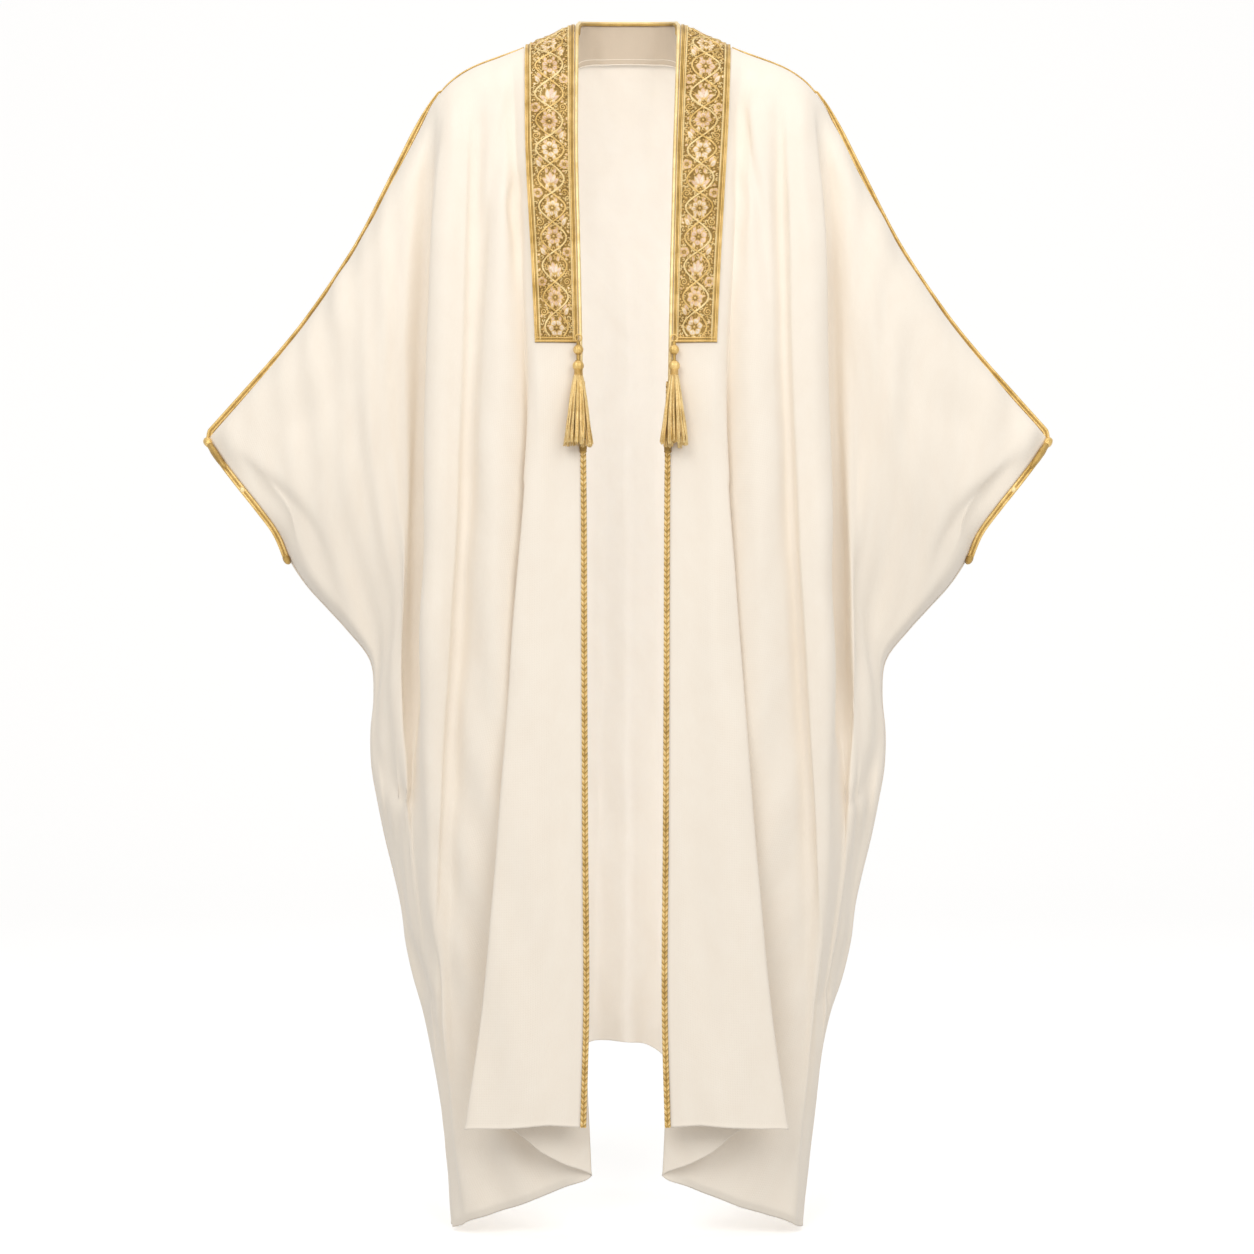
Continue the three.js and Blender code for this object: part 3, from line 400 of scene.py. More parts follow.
def wall_grid(name, thickness, facing, lift=0.01):
    """One skin of a cloth wall: rows down, and columns across from the front edge or the wearer's right.
    facing: -1 for the skin nearer to the front, 1 for the one nearer to the back.
    The wall's rim has edges as long as it is thick, which part its two skins. A point's row is the number of
    edges to the top side of the skin, and its column the number to its first side, as each triangle spans
    one row and one column. The loop round the skin starts at its corner farthest out, where height counts
    by lift."""
    places, triangles = welded(name)
    lengths = np.stack([np.linalg.norm(places[triangles[:, a]] - places[triangles[:, b]], axis=1)
                        for a, b in ((0, 1), (1, 2), (2, 0))])
    skins = triangles[(np.abs(lengths - thickness) > SAME_LENGTH).all(axis=0)]
    near = neighbours(skins)
    one = steps_from([int(skins[0, 0])], near)
    groups = [set(one), set(near) - set(one)]
    chosen = max(groups, key=lambda group: facing * places[list(group), 1].mean())
    skin = np.array([t for t in skins.tolist() if t[0] in chosen])
    near = neighbours(skin)
    loop = boundary_loop(skin)
    half = len(loop) // 2 + 2
    root = math.sqrt(half ** 2 / 4 - len(chosen))
    rows, columns = round(half / 2 - root), round(half / 2 + root)
    tip = max(range(len(loop)), key=lambda k: abs(places[loop[k], 0]) + places[loop[k], 2] * lift)
    loop = loop[tip:] + loop[:tip]
    if places[loop[1], 2] < places[loop[-1], 2]:
        loop = [loop[0]] + loop[:0:-1]
    top = loop[:columns]
    ends = sorted((top[0], top[-1]), key=lambda point: (abs(places[point, 0]) > FAR_OUT, places[point, 0]))
    first_side = loop[columns - 1:columns + rows - 1] if ends[0] == top[-1] else [loop[0]] + loop[:-rows:-1]
    down = steps_from(top, near)
    across = steps_from(first_side, near)
    grid = np.full((rows, columns, 3), np.nan)
    for point in chosen:
        grid[down[point], across[point]] = places[point]
    assert not np.isnan(grid).any(), name
    return grid


def cord_line(name, sides=8):
    """The middle line of a round cord: the centres of its rings, from one flat end to the other."""
    places, triangles = welded(name)
    corners = places[triangles]
    normals = unit(np.cross(corners[:, 1] - corners[:, 0], corners[:, 2] - corners[:, 0]))
    near = neighbours(triangles)
    for start in range(len(triangles)):
        level = np.abs((corners - corners[start, 0]) @ normals[start]).max(axis=1) < FLAT_END["level"]
        end = set(triangles[level & (normals @ normals[start] > FLAT_END["alike"])].ravel().tolist())
        away = np.linalg.norm(places[list(end)] - places[list(end)].mean(axis=0), axis=1)
        if len(end) == sides and away.max() - away.min() < FLAT_END["round"] * away.max():
            break
    ring_of = steps_from(list(end), near)
    rings = [[] for _ in range(max(ring_of.values()) + 1)]
    for point, ring in ring_of.items():
        rings[ring].append(places[point])
    return np.array([np.mean(ring, axis=0) for ring in rings])


# ---------------------------------------------------------------- smooth surfaces
MOST = 80        # per cent of a row's gaps that keep to the spacing
SEWN = 0.0006    # points this close to the seams' plane lie in a seam

def through(points, steps):
    """A smooth curve through rows of points (first axis), with steps[i] stretches after row i."""
    padded = np.concatenate([[2 * points[0] - points[1]], points, [2 * points[-1] - points[-2]]])
    gaps = np.sqrt(np.maximum(np.linalg.norm(np.diff(padded, axis=0), axis=-1, keepdims=True), 1e-9))
    curve = []
    for i, count in enumerate(steps):
        a, b, c, d = padded[i:i + 4]
        ta, tb = 0, gaps[i]
        tc = tb + gaps[i + 1]
        td = tc + gaps[i + 2]
        for k in range(count):
            t = tb + (tc - tb) * k / count
            ab = a + (b - a) * (t - ta) / (tb - ta)
            bc = b + (c - b) * (t - tb) / (tc - tb)
            cd = c + (d - c) * (t - tc) / (td - tc)
            abc = ab + (bc - ab) * (t - ta) / (tc - ta)
            bcd = bc + (cd - bc) * (t - tb) / (td - tb)
            curve.append(abc + (bcd - abc) * (t - tb) / (tc - tb))
    curve.append(points[-1])
    return np.array(curve)


def stretches(points, spacing):
    """How many steps each gap between rows of points needs, so that most keep to the spacing."""
    lengths = np.linalg.norm(np.diff(points, axis=0), axis=-1)
    if lengths.ndim > 1:
        lengths = np.percentile(lengths, MOST, axis=1)
    return np.maximum(np.ceil(lengths / spacing), 1).astype(int)


def numbered(steps):
    """The fractional number of each point that `through` makes."""
    return np.concatenate([i + np.arange(count) / count for i, count in enumerate(steps)] + [[len(steps)]])


def surface_normals(points, outward):
    """Unit normals of a grid of points, turned to the side that `outward` picks."""
    across = np.gradient(points, axis=1)
    down = np.gradient(points, axis=0)
    return unit(np.cross(across, down)) * outward


class Sheet:
    """A cloth panel's outer side: a fine grid of points, with the frame's own row and column numbers."""

    def __init__(self, name, spacing, facing, outward, thickness=0.0016, hem_spacing=None, lift=0.01):
        coarse = wall_grid(name, thickness, facing, lift)
        down = stretches(coarse, spacing[0])
        if hem_spacing:
            down[-1] = math.ceil(np.linalg.norm(coarse[-1] - coarse[-2], axis=-1).mean() / hem_spacing)
        rows = through(coarse, down)
        across = stretches(coarse.swapaxes(0, 1), spacing[1])
        self.points = through(rows.swapaxes(0, 1), across).swapaxes(0, 1)
        self.rows = numbered(down)
        self.columns = numbered(across)
        self.name = name
        self.outward = outward
        self.sewn = np.abs(self.points[..., 1]) < SEWN
        self.find_normals()

    def find_normals(self):
        """Unit normals, level where the cloth lies in a seam."""
        self.normals = surface_normals(self.points, self.outward)
        self.normals[self.sewn, 1] = 0
        self.normals = unit(self.normals)

    def lengths(self, axis):
        """Running lengths along the rows (axis 1) or the columns (axis 0)."""
        steps = np.linalg.norm(np.diff(self.points, axis=axis), axis=-1)
        start = np.zeros_like(np.take(steps, [0], axis=axis))
        return np.cumsum(np.concatenate([start, steps], axis=axis), axis=axis)


# ---------------------------------------------------------------- folds

# Soft creases in millimetres. Each one's first pair is how far it spreads towards the centre and away from
# it, and the rest are places along it: distance from the centre, height and depth. A depth below 0 is a
# ridge. Both halves have them, a little uneven.
FRONT_CREASES = {
    "valley in front of the arm": [(5, 11), (226, -100, 0), (233, -180, 8), (238, -280, 13),
        (241, -390, 14), (242, -520, 14), (243, -640, 13), (246, -740, 13), (248, -810, 9), (250, -870, 0)],
    "slope beyond the valley": [(10, 22), (262, -360, 0), (268, -480, 4), (272, -600, 8), (272, -720, 9),
        (268, -820, 4), (262, -900, 0)],
    "edge of the shoulder crest": [(14, 5), (215, -110, 0), (219, -180, -6), (222, -280, -9),
        (225, -400, -10), (226, -520, -10), (227, -640, -10), (230, -740, -9), (234, -820, -5),
        (238, -900, 0)],
    "outer valley": [(12, 4), (172, -90, 0), (174, -140, 3), (177, -240, 5), (179, -390, 5), (184, -520, 5),
        (190, -640, 5), (200, -780, 6), (207, -950, 6), (209, -1100, 5), (206, -1220, 3), (198, -1330, 0)],
    "edge beside the outer valley": [(3.5, 18), (182, -90, 0), (184, -140, -4), (187, -240, -8),
        (189, -390, -9), (194, -520, -9), (200, -640, -10), (210, -780, -10), (217, -950, -8),
        (219, -1100, -6), (216, -1220, -3), (208, -1330, 0)],
    "pull from the neck": [(14, 6), (126, -75, 0), (137, -128, 4), (146, -175, 5), (157, -232, 5),
        (164, -310, 3), (167, -420, 0)],
    "pucker beside the band": [(7, 7), (122, -180, 0), (132, -225, 4), (128, -275, 3), (130, -350, 0)],
    "sleeve ridge": [(22, 20), (256, -200, 0), (266, -290, -2), (277, -370, -3), (293, -456, -4),
        (322, -530, -4), (350, -600, -2), (362, -640, 0)],
    "sleeve valley": [(20, 26), (285, -235, 0), (305, -300, 2), (329, -378, 4), (352, -445, 4),
        (385, -478, 3), (420, -488, 0)],
    "crease behind the cuff": [(9, 30), (478, -515, 0), (458, -530, 3), (435, -548, 6), (413, -566, 8),
        (392, -589, 7), (375, -618, 5), (363, -655, 2), (356, -690, 0)],
    "sleeve drape": [(14, 20), (318, -450, 0), (310, -520, 3), (303, -600, 4), (300, -680, 3),
        (300, -735, 0)],
    "upper lip": [(12, 10), (290, -860, 0), (284, -893, 4), (274, -915, 5), (262, -922, 3), (252, -915, 0)],
    "lower lip": [(11, 9), (254, -1085, 0), (248, -1118, 4), (239, -1145, 5), (228, -1158, 3),
        (216, -1156, 0)],
    "sag of the front panel": [(16, 20), (80, -470, 0), (79, -700, 3), (83, -950, 4), (88, -1150, 3),
        (92, -1250, 0)],
    "soft ridge of the front panel": [(20, 20), (112, -500, 0), (118, -720, -3), (128, -950, -4),
        (138, -1180, -2), (140, -1250, 0)],
}
BACK_CREASES = {
    "pull from the neck": [(10, 14), (70, -50, 0), (88, -120, 4), (102, -200, 5), (112, -330, 0)],
    "blade valley": [(12, 20), (128, -120, 0), (134, -300, 5), (139, -550, 7), (144, -900, 7),
        (143, -1180, 5), (141, -1300, 3)],
    "shoulder valley": [(20, 9), (204, -120, 0), (210, -300, 6), (216, -600, 8), (224, -900, 9),
        (211, -1180, 6), (194, -1390, 2)],
    "valley behind the arm": [(7, 15), (231, -110, 0), (243, -300, 8), (250, -560, 10), (255, -800, 12),
        (256, -920, 6), (254, -970, 0)],
    "sleeve ridge": [(18, 13), (262, -210, 0), (276, -330, -5), (300, -440, -7), (330, -520, -6),
        (356, -610, 0)],
    "sleeve valley": [(12, 20), (290, -240, 0), (322, -350, 6), (356, -430, 7), (400, -482, 4),
        (430, -497, 0)],
    "crease behind the cuff": [(8, 20), (470, -515, 0), (440, -538, 6), (405, -570, 8), (376, -615, 4),
        (366, -650, 0)],
    "sleeve drape": [(15, 20), (320, -470, 0), (306, -580, 7), (302, -680, 5), (302, -740, 0)],
    "upper lip": [(10, 9), (286, -890, 0), (274, -928, 7), (258, -945, 7), (243, -925, 0)],
    "lower lip": [(10, 9), (248, -1100, 0), (238, -1150, 6), (222, -1170, 5), (210, -1150, 0)],
    "centre crest": [(14, 14), (30, -100, 0), (31, -300, -3), (34, -600, -4), (38, -950, -4),
        (44, -1220, -2)],
}
MILLIMETRES = 1000       # in a metre
PATH_STEP = 0.012        # the longest stretch of a crease's path
UNEVEN = {"shift": 0.003, "deep": 0.15}      # how much two like creases differ
SIDES = {"right": {"sign": -1, "seed": 3}, "left": {"sign": 1, "seed": 7}}
SLEEVE_SOFT = {"columns": (18.0, 18.8, 24.5, 26.5), "heights": (-0.90, -0.66), "rounds": 320}
RIPPLES = {"count": 26, "height": 0.00026, "across": (0.05, 0.14), "down": (0.2, 0.7)}
PLEAT_SOFT = {"columns": (3, 13), "from": -0.38, "to": -0.66, "rounds": 90}
PLEAT_CALM = {"columns": (5.2, 9.5), "below": -0.55, "share": 0.2}      # the creases' share on the pleat
# How far from an edge the cloth folds freely, in net rows and columns, and where the band and the facing end.
CALM = {"top": 2.5, "side": 1.2, "edge": 1.5, "band": (3.0, 4.2), "band_end": (-0.47, -0.41),
        "facing_side": (0.075, 0.11), "facing_end": (0.045, 0.11)}
HEM_ROLL = {"height": 0.0011, "width": 0.003}


# How far the hem hangs above or below the solids' own, at net columns, and how far up the shift fades. The
# pleat's inner layer hooks up behind the front, and the corner at the side seam is nearly level.
HEM_SHIFTS = {
    "front": ((0, 0), (1.5, 0.002), (3.5, -0.002), (5.0, -0.004), (5.9, -0.001), (6.4, 0.010), (6.77, 0.019),
              (7.0, 0.011), (7.2, 0.003), (7.5, -0.002), (8, 0), (9, 0), (10.5, -0.006), (12, -0.010),
              (13, -0.011), (14, -0.009), (15, -0.005), (16, 0), (18, 0), (20, 0.0015), (24, 0.0037),
              (28, 0.005)),
    "back": ((0, 0.005), (4, 0.002), (8, 0), (36, 0), (40, 0.002), (44, 0.005)),
}
HEM_FADE = 0.10
HEM_CURL = {"columns": (9.2, 10.2, 16.5, 18), "height": 0.010, "inward": 0.0055, "power": 1.2}


def shape_hem(sheet):
    """Moves a panel's hem a little up or down, and curls the side's hem inwards under a soft ridge."""
    table = np.array(HEM_SHIFTS["back" if sheet.name == "back" else "front"])
    down = sheet.lengths(0)
    left = down[-1] - down
    shift = np.interp(sheet.columns, table[:, 0], table[:, 1])
    sheet.points[..., 2] += shift * (1 - eased(left, 0, HEM_FADE))
    if sheet.name != "back":
        start, full, until, end = HEM_CURL["columns"]
        where = eased(sheet.columns, start, full) * (1 - eased(sheet.columns, until, end))
        curl = np.clip(1 - left / HEM_CURL["height"], 0, 1) ** HEM_CURL["power"]
        sheet.points[..., 1] += where * curl * HEM_CURL["inward"]
    sheet.find_normals()


def crease_depth(across, height, crease, shift, share):
    """How far a crease sinks each point, from its distance to the crease's path."""
    path = np.array(crease[1:]) / MILLIMETRES
    path = through(path, stretches(path[:, :2], PATH_STEP))
    flanks = np.array(crease[0]) / MILLIMETRES
    reach = 3 * max(flanks)
    low = path[:, :2].min(axis=0) - reach
    high = path[:, :2].max(axis=0) + reach
    places = np.stack([across - shift, height], axis=-1).reshape(-1, 2)
    near = ((places > low) & (places < high)).all(axis=1)
    deep = np.zeros(len(places))
    spots = places[near]
    if not len(spots):
        return deep.reshape(across.shape)
    starts, runs = path[:-1], np.diff(path, axis=0)
    along = ((spots[:, None] - starts[None, :, :2]) * runs[None, :, :2]).sum(axis=-1)
    along = np.clip(along / (runs[:, :2] ** 2).sum(axis=1), 0, 1)
    feet = starts + along[..., None] * runs
    away = spots[:, None] - feet[..., :2]
    gaps = np.linalg.norm(away, axis=-1)
    best = gaps.argmin(axis=1)
    rows = np.arange(len(spots))
    run = runs[best]
    leaving = away[rows, best]
    side = run[:, 1] * leaving[:, 0] - run[:, 0] * leaving[:, 1]
    outer = side * np.sign(run[:, 1].sum() or 1) > 0
    spread = np.where(outer, flanks[1], flanks[0])
    deep[near] = feet[rows, best, 2] * np.exp(-(gaps[rows, best] / spread) ** 2) * share
    return deep.reshape(across.shape)


def ripples(sheet, seed):
    """A faint unevenness of hanging cloth: long low waves, mostly upright."""
    dice = np.random.default_rng(seed)
    across = sheet.lengths(1)
    down = sheet.lengths(0)
    total = np.zeros(across.shape)
    for _ in range(RIPPLES["count"]):
        wide = dice.uniform(*RIPPLES["across"])
        long = dice.uniform(*RIPPLES["down"])
        turn = dice.uniform(0, math.tau)
        total += np.sin((across / wide + down / long * dice.choice((-1, 1))) * math.tau + turn)
    return total * RIPPLES["height"]


def calm(sheet):
    """1 where cloth can fold freely, and 0 where it is sewn to a seam, an edge or a stiff band."""
    columns = sheet.columns[None, :]
    last = sheet.columns[-1]
    height = sheet.points[..., 2]
    free = eased(sheet.rows, 0, CALM["top"])[:, None] * (1 - eased(columns, last - CALM["side"], last))
    if sheet.name == "back":
        behind_facing = 1 - eased(np.abs(sheet.points[..., 0]), *CALM["facing_side"])
        clear = np.maximum(eased(-height, *CALM["facing_end"]), 1 - behind_facing)
        return free * clear * eased(columns, 0, CALM["side"])
    beside_band = eased(columns, *CALM["band"])
    below_band = 1 - eased(height, *CALM["band_end"])
    return free * np.maximum(beside_band, below_band * eased(columns, 0, CALM["edge"]))


def even_out(sheet, share, rounds):
    """Draws points towards the middle of the two beside them, by half of their share in each round."""
    share = share[..., None] * 0.5
    for _ in range(rounds):
        middle = (sheet.points[:, :-2] + sheet.points[:, 2:]) / 2
        sheet.points[:, 1:-1] += (middle - sheet.points[:, 1:-1]) * share[:, 1:-1]


def soften_pleat(sheet):
    """Above the waist the pleat beside the band is no more than a soft hollow."""
    first, last = PLEAT_SOFT["columns"]
    inside = (sheet.columns > first) & (sheet.columns < last)
    share = eased(sheet.points[..., 2], PLEAT_SOFT["to"], PLEAT_SOFT["from"])
    even_out(sheet, np.where(inside[None, :], share, 0), PLEAT_SOFT["rounds"])


def soften_sleeve(sheet):
    """The sleeve hangs nearly smooth, so its net's crests and valleys are evened out across."""
    start, full, until, end = SLEEVE_SOFT["columns"]
    inside = eased(sheet.columns, start, full) * (1 - eased(sheet.columns, until, end))
    share = inside[None, :] * eased(sheet.points[..., 2], *SLEEVE_SOFT["heights"])
    even_out(sheet, share, SLEEVE_SOFT["rounds"])


def fold(sheet, creases, seed):
    """Gives a panel its creases and its slight unevenness."""
    across = sheet.points[..., 0]
    height = sheet.points[..., 2]
    free = calm(sheet)
    sunk = ripples(sheet, seed)
    for name, side in SIDES.items():
        if sheet.name != "back" and not sheet.name.startswith(name):
            continue
        dice = np.random.default_rng(seed + side["seed"])
        for crease in creases.values():
            shift = dice.normal() * UNEVEN["shift"]
            share = 1 + dice.normal() * UNEVEN["deep"]
            sunk += crease_depth(across * side["sign"], height, crease, shift, share)
    if sheet.name != "back":
        first, last = PLEAT_CALM["columns"]
        pleat = (sheet.columns > first) & (sheet.columns < last)
        sunk = np.where(pleat[None, :] & (height < PLEAT_CALM["below"]), sunk * PLEAT_CALM["share"], sunk)
    sheet.points -= sheet.normals * (sunk * free)[..., None]
    sheet.find_normals()


# ---------------------------------------------------------------- cloth panels

CLOTH_THICKNESS = 0.001
CLOTH_SPACING = {"front": (0.009, 0.0046), "back": (0.013, 0.0062)}     # down and across
HEM_SPACING = 0.0022


def shell(sheet, thickness, roll=True):
    """The points and faces of a thin closed shell, from a sheet's outer points inwards, with a rolled hem."""
    rows, columns = sheet.points.shape[:2]
    down = sheet.lengths(0)
    hem = np.exp(-((down[-1] - down) / HEM_ROLL["width"]) ** 2) * HEM_ROLL["height"] * roll
    outer = sheet.points + sheet.normals * (hem * 0.5)[..., None]
    inner = sheet.points - sheet.normals * (thickness + hem * 0.5)[..., None]
    every = np.concatenate([outer.reshape(-1, 3), inner.reshape(-1, 3)])
    return every, facing_out(every, shell_faces(rows, columns))


def map_weave(piece, sheet):
    """Gives the cloth a map in metres, across and down, for its weave."""
    across = sheet.lengths(1)
    down = sheet.lengths(0)
    flat = np.stack([across - across[:, :1], down], axis=-1).reshape(-1, 2)
    both = np.concatenate([flat, flat])
    layer = piece.data.uv_layers.new(name="weave")
    corners = np.zeros(len(piece.data.loops), int)
    piece.data.loops.foreach_get("vertex_index", corners)
    layer.data.foreach_set("uv", both[corners].ravel())


def facing_out(points, faces):
    """The faces, turned over if the mesh is inside out."""
    quads = points[faces]
    area = np.cross(quads[:, 2] - quads[:, 0], quads[:, 3] - quads[:, 1])
    volume = (area * quads.mean(axis=1)).sum()
    return faces if volume > 0 else faces[:, ::-1]


def make_panel(sheet, material, thickness=CLOTH_THICKNESS, roll=True):
    """A panel's piece, in place of its node."""
    points, faces = shell(sheet, thickness, roll)
    piece = make_piece(f"{sheet.name}_cloth", points, faces.tolist(), material, [sheet.name])
    map_weave(piece, sheet)
    return piece


# ---------------------------------------------------------------- cords

FORWARD = np.array([0.0, 1.0, 0.0])
UPWARD = np.array([0.0, 0.0, 1.0])
END_ROUND = 0.6      # how far a tube's ends bulge, in radii

def cord_frame(line, about=FORWARD):
    """Tangents, side vectors across `about`, and vectors square to both, at each point of a line."""
    tangents = unit(np.gradient(line, axis=0))
    side = unit(np.cross(tangents, about))
    out = np.cross(side, tangents)
    return tangents, side, out


def tube(line, radius, sides=8, about=FORWARD):
    """A round tube along a line, with rounded ends. radius: a number, or one for each point."""
    tangents, side, out = cord_frame(line, about)
    radii = np.broadcast_to(radius, len(line))[:, None, None]
    turns = np.arange(sides) * math.tau / sides
    ring = np.cos(turns)[None, :, None] * side[:, None] + np.sin(turns)[None, :, None] * out[:, None]
    points = line[:, None] + ring * radii
    start = line[0] - tangents[0] * radii[0, 0] * END_ROUND
    end = line[-1] + tangents[-1] * radii[-1, 0] * END_ROUND
    return np.concatenate([points.reshape(-1, 3), [start, end]]), *ring_faces(len(line), sides)


def beside(line, aside=0.0, forward=0.0):
    """A line shifted along its side vectors and out of the garment's plane."""
    _, side, out = cord_frame(line)
    return line + side * aside + out * forward


def running(line):
    """The length from a line's start to each of its points."""
    return np.concatenate([[0], np.cumsum(np.linalg.norm(np.diff(line, axis=0), axis=1))])


def resampled(line, spacing):
    """A line's points at even steps."""
    along = running(line)
    steps = np.linspace(0, along[-1], max(int(along[-1] / spacing), 2) + 1)
    return np.stack([np.interp(steps, along, line[:, axis]) for axis in range(3)], axis=1)


def twisted(line, strands, around, pitch, about=FORWARD):
    """The middle lines of strands wound about a line."""
    _, side, out = cord_frame(line, about)
    along = running(line)
    lines = []
    for k in range(strands):
        turn = (along / pitch + k / strands) * math.tau
        lines.append(line + around * (np.cos(turn)[:, None] * side + np.sin(turn)[:, None] * out))
    return lines


def add_rope(pile, line, rope):
    """Two strands twisted into a rope."""
    for strand in twisted(line, 2, rope["around"], rope["pitch"]):
        pile.add(*tube(strand, rope["strand"], 6))


def from_top(name, spacing):
    """A cord's middle line, smooth and even, starting at its higher end."""
    line = cord_line(name)
    line = resampled(through(line, stretches(line, spacing)), spacing)
    return line if line[0, 2] >= line[-1, 2] else line[::-1]

BEAD = {"rings": 12, "full": 0.8, "groove": 0.05}


def ball(centre, axis, radius, length, grooves, sides=24):
    """A bead about an axis, with shallow grooves from end to end where thread is wound over it."""
    axis = unit(np.asarray(axis, float))
    side = unit(np.cross(axis, FORWARD))
    out = np.cross(side, axis)
    turns = np.arange(sides) * math.tau / sides
    ring = np.cos(turns)[:, None] * side + np.sin(turns)[:, None] * out
    points = []
    for k in range(1, BEAD["rings"]):
        tilt = math.pi * k / BEAD["rings"]
        wide = radius * math.sin(tilt) ** BEAD["full"] * (1 + BEAD["groove"] * np.cos(turns * grooves))
        points.append(centre - axis * math.cos(tilt) * length / 2 + ring * np.reshape(wide, (-1, 1)))
    every = np.concatenate([*points, [centre - axis * length / 2, centre + axis * length / 2]])
    return every, *ring_faces(BEAD["rings"] - 1, sides)


def finish(pile, name, material, replaces):
    """Makes a piece of what a pile has gathered."""
    return make_piece(name, pile.all_points(), pile.faces, material, replaces)


PIPING = {"radius": 0.0018, "apart": 0.0021, "spacing": 0.0035}
# Painted shade: a dark tube in the gap between the two pipings.
GAP_SHADE = {"radius": 0.0009, "forward": 0.0006}
ARM_TAPER = {"start": 0.4, "gain": 0.6, "length": 0.07}
# Painted shade: a dark sleeve over the cuff's piping near the tip, where the sleeve's front overhangs it.
OVERHANG_SHADE = {"from": 0.006, "to": 0.052, "radius": 0.0046, "bulge": (0.014, 0.03),
                "shares": (0.72, 1.0, 0.92, 0.55)}
# Beads on the cuff's piping, as radius, length and number of grooves.
TIP_KNOT = (0.0052, 0.014, 7)
STITCH = (0.0036, 0.0075, 6)
END_KNOT = (0.0042, 0.014, 6)
STITCH_AT = 45       # per cent of the way along


def add_piping(gold, dark, line, scale):
    """Two round pipings side by side, with a dark tube sunk between them as painted shade in the gap."""
    for aside in (-PIPING["apart"], PIPING["apart"]):
        pair = line + cord_frame(line)[1] * (aside * scale)[:, None]
        gold.add(*tube(pair, PIPING["radius"] * scale, 8))
    # Painted shade: dark tubes sunk in the gap between the pipings.
    for forward in (-GAP_SHADE["forward"], GAP_SHADE["forward"]):
        dark.add(*tube(beside(line, 0, forward), GAP_SHADE["radius"] * scale, 5))


def make_arm_cords(side):
    """The double piping down the arm, with a taper at the shoulder, running on to the tip of the sleeve."""
    line = from_top(f"{side}_arm_cord", PIPING["spacing"])
    above = from_top(f"{side}_shoulder_piping", PIPING["spacing"])[-1]
    below = from_top(f"{side}_cuff_front_cord", PIPING["spacing"])[1]
    line = resampled(np.concatenate([[above], line, [below * (1, 0, 1)]]), PIPING["spacing"])
    scale = ARM_TAPER["start"] + ARM_TAPER["gain"] * eased(running(line), 0, ARM_TAPER["length"])
    gold, dark = Pile(), Pile()
    add_piping(gold, dark, line, scale)
    name = f"{side}_arm_cord"
    finish(gold, f"{name}_piping", GOLD, [name])
    # The core piece is painted shade: the dark tubes in the gap between the pipings.
    finish(dark, f"{name}_core", DARK_GOLD, [name])


def make_cuff_cords(side, face):
    """The cuff's piping: a knot at the tip, painted shade under the overhang, double piping, a bright stitch,
    a knot.
    """
    name = f"{side}_cuff_{face}_cord"
    line = from_top(name, PIPING["spacing"])
    along = running(line)
    gold, dark, bright = Pile(), Pile(), Pile()
    pairs = line[along > OVERHANG_SHADE["from"]]
    add_piping(gold, dark, pairs, np.ones(len(pairs)))
    # Painted shade: a dark sleeve where the sleeve's front layer overhangs the piping.
    start, end = OVERHANG_SHADE["from"], OVERHANG_SHADE["to"]
    under_overhang = line[(along >= start) & (along <= end)]
    share = np.interp(running(under_overhang), (0, *OVERHANG_SHADE["bulge"], end - start), OVERHANG_SHADE["shares"])
    dark.add(*tube(under_overhang, OVERHANG_SHADE["radius"] * share, 10))
    tangents = cord_frame(line)[0]
    middle = len(line) * STITCH_AT // 100
    gold.add(*ball(line[1], tangents[1], *TIP_KNOT))
    bright.add(*ball(line[middle], tangents[middle], *STITCH))
    dark.add(*ball(line[-2], tangents[-2], *END_KNOT))
    finish(gold, f"{name}_piping", GOLD, [name])
    # The satin piece is painted shade, under the overhang and in the gap between the pipings, with the dark
    # end knot.
    finish(dark, f"{name}_satin", DARK_GOLD, [name])
    finish(bright, f"{name}_stitch", PALE_GOLD, [name])

SHOULDER_ROPE = {"spacing": 0.0014, "strand": 0.0008, "around": 0.0006, "pitch": 0.005}


def make_shoulder_piping(side):
    """A thin twisted rope on the shoulder seam."""
    name = f"{side}_shoulder_piping"
    pile = Pile()
    add_rope(pile, from_top(name, SHOULDER_ROPE["spacing"]), SHOULDER_ROPE)
    finish(pile, f"{name}_rope", GOLD, [name])


# Each rope's three strands are pale, mid and dark copies of the gold: painted highlight and painted shade.
# between: a dark line of painted shade.
FRONT_ROPE = {"spacing": 0.00095, "apart": 0.0018, "strand": 0.0009, "around": 0.0010, "pitch": 0.0066,
              "core": 0.0010, "between": 0.0009}
BINDING = {"from": 0.070, "to": 0.082, "radius": 0.0038, "proud": 0.0002, "thread": 0.0006, "step": 1.2}


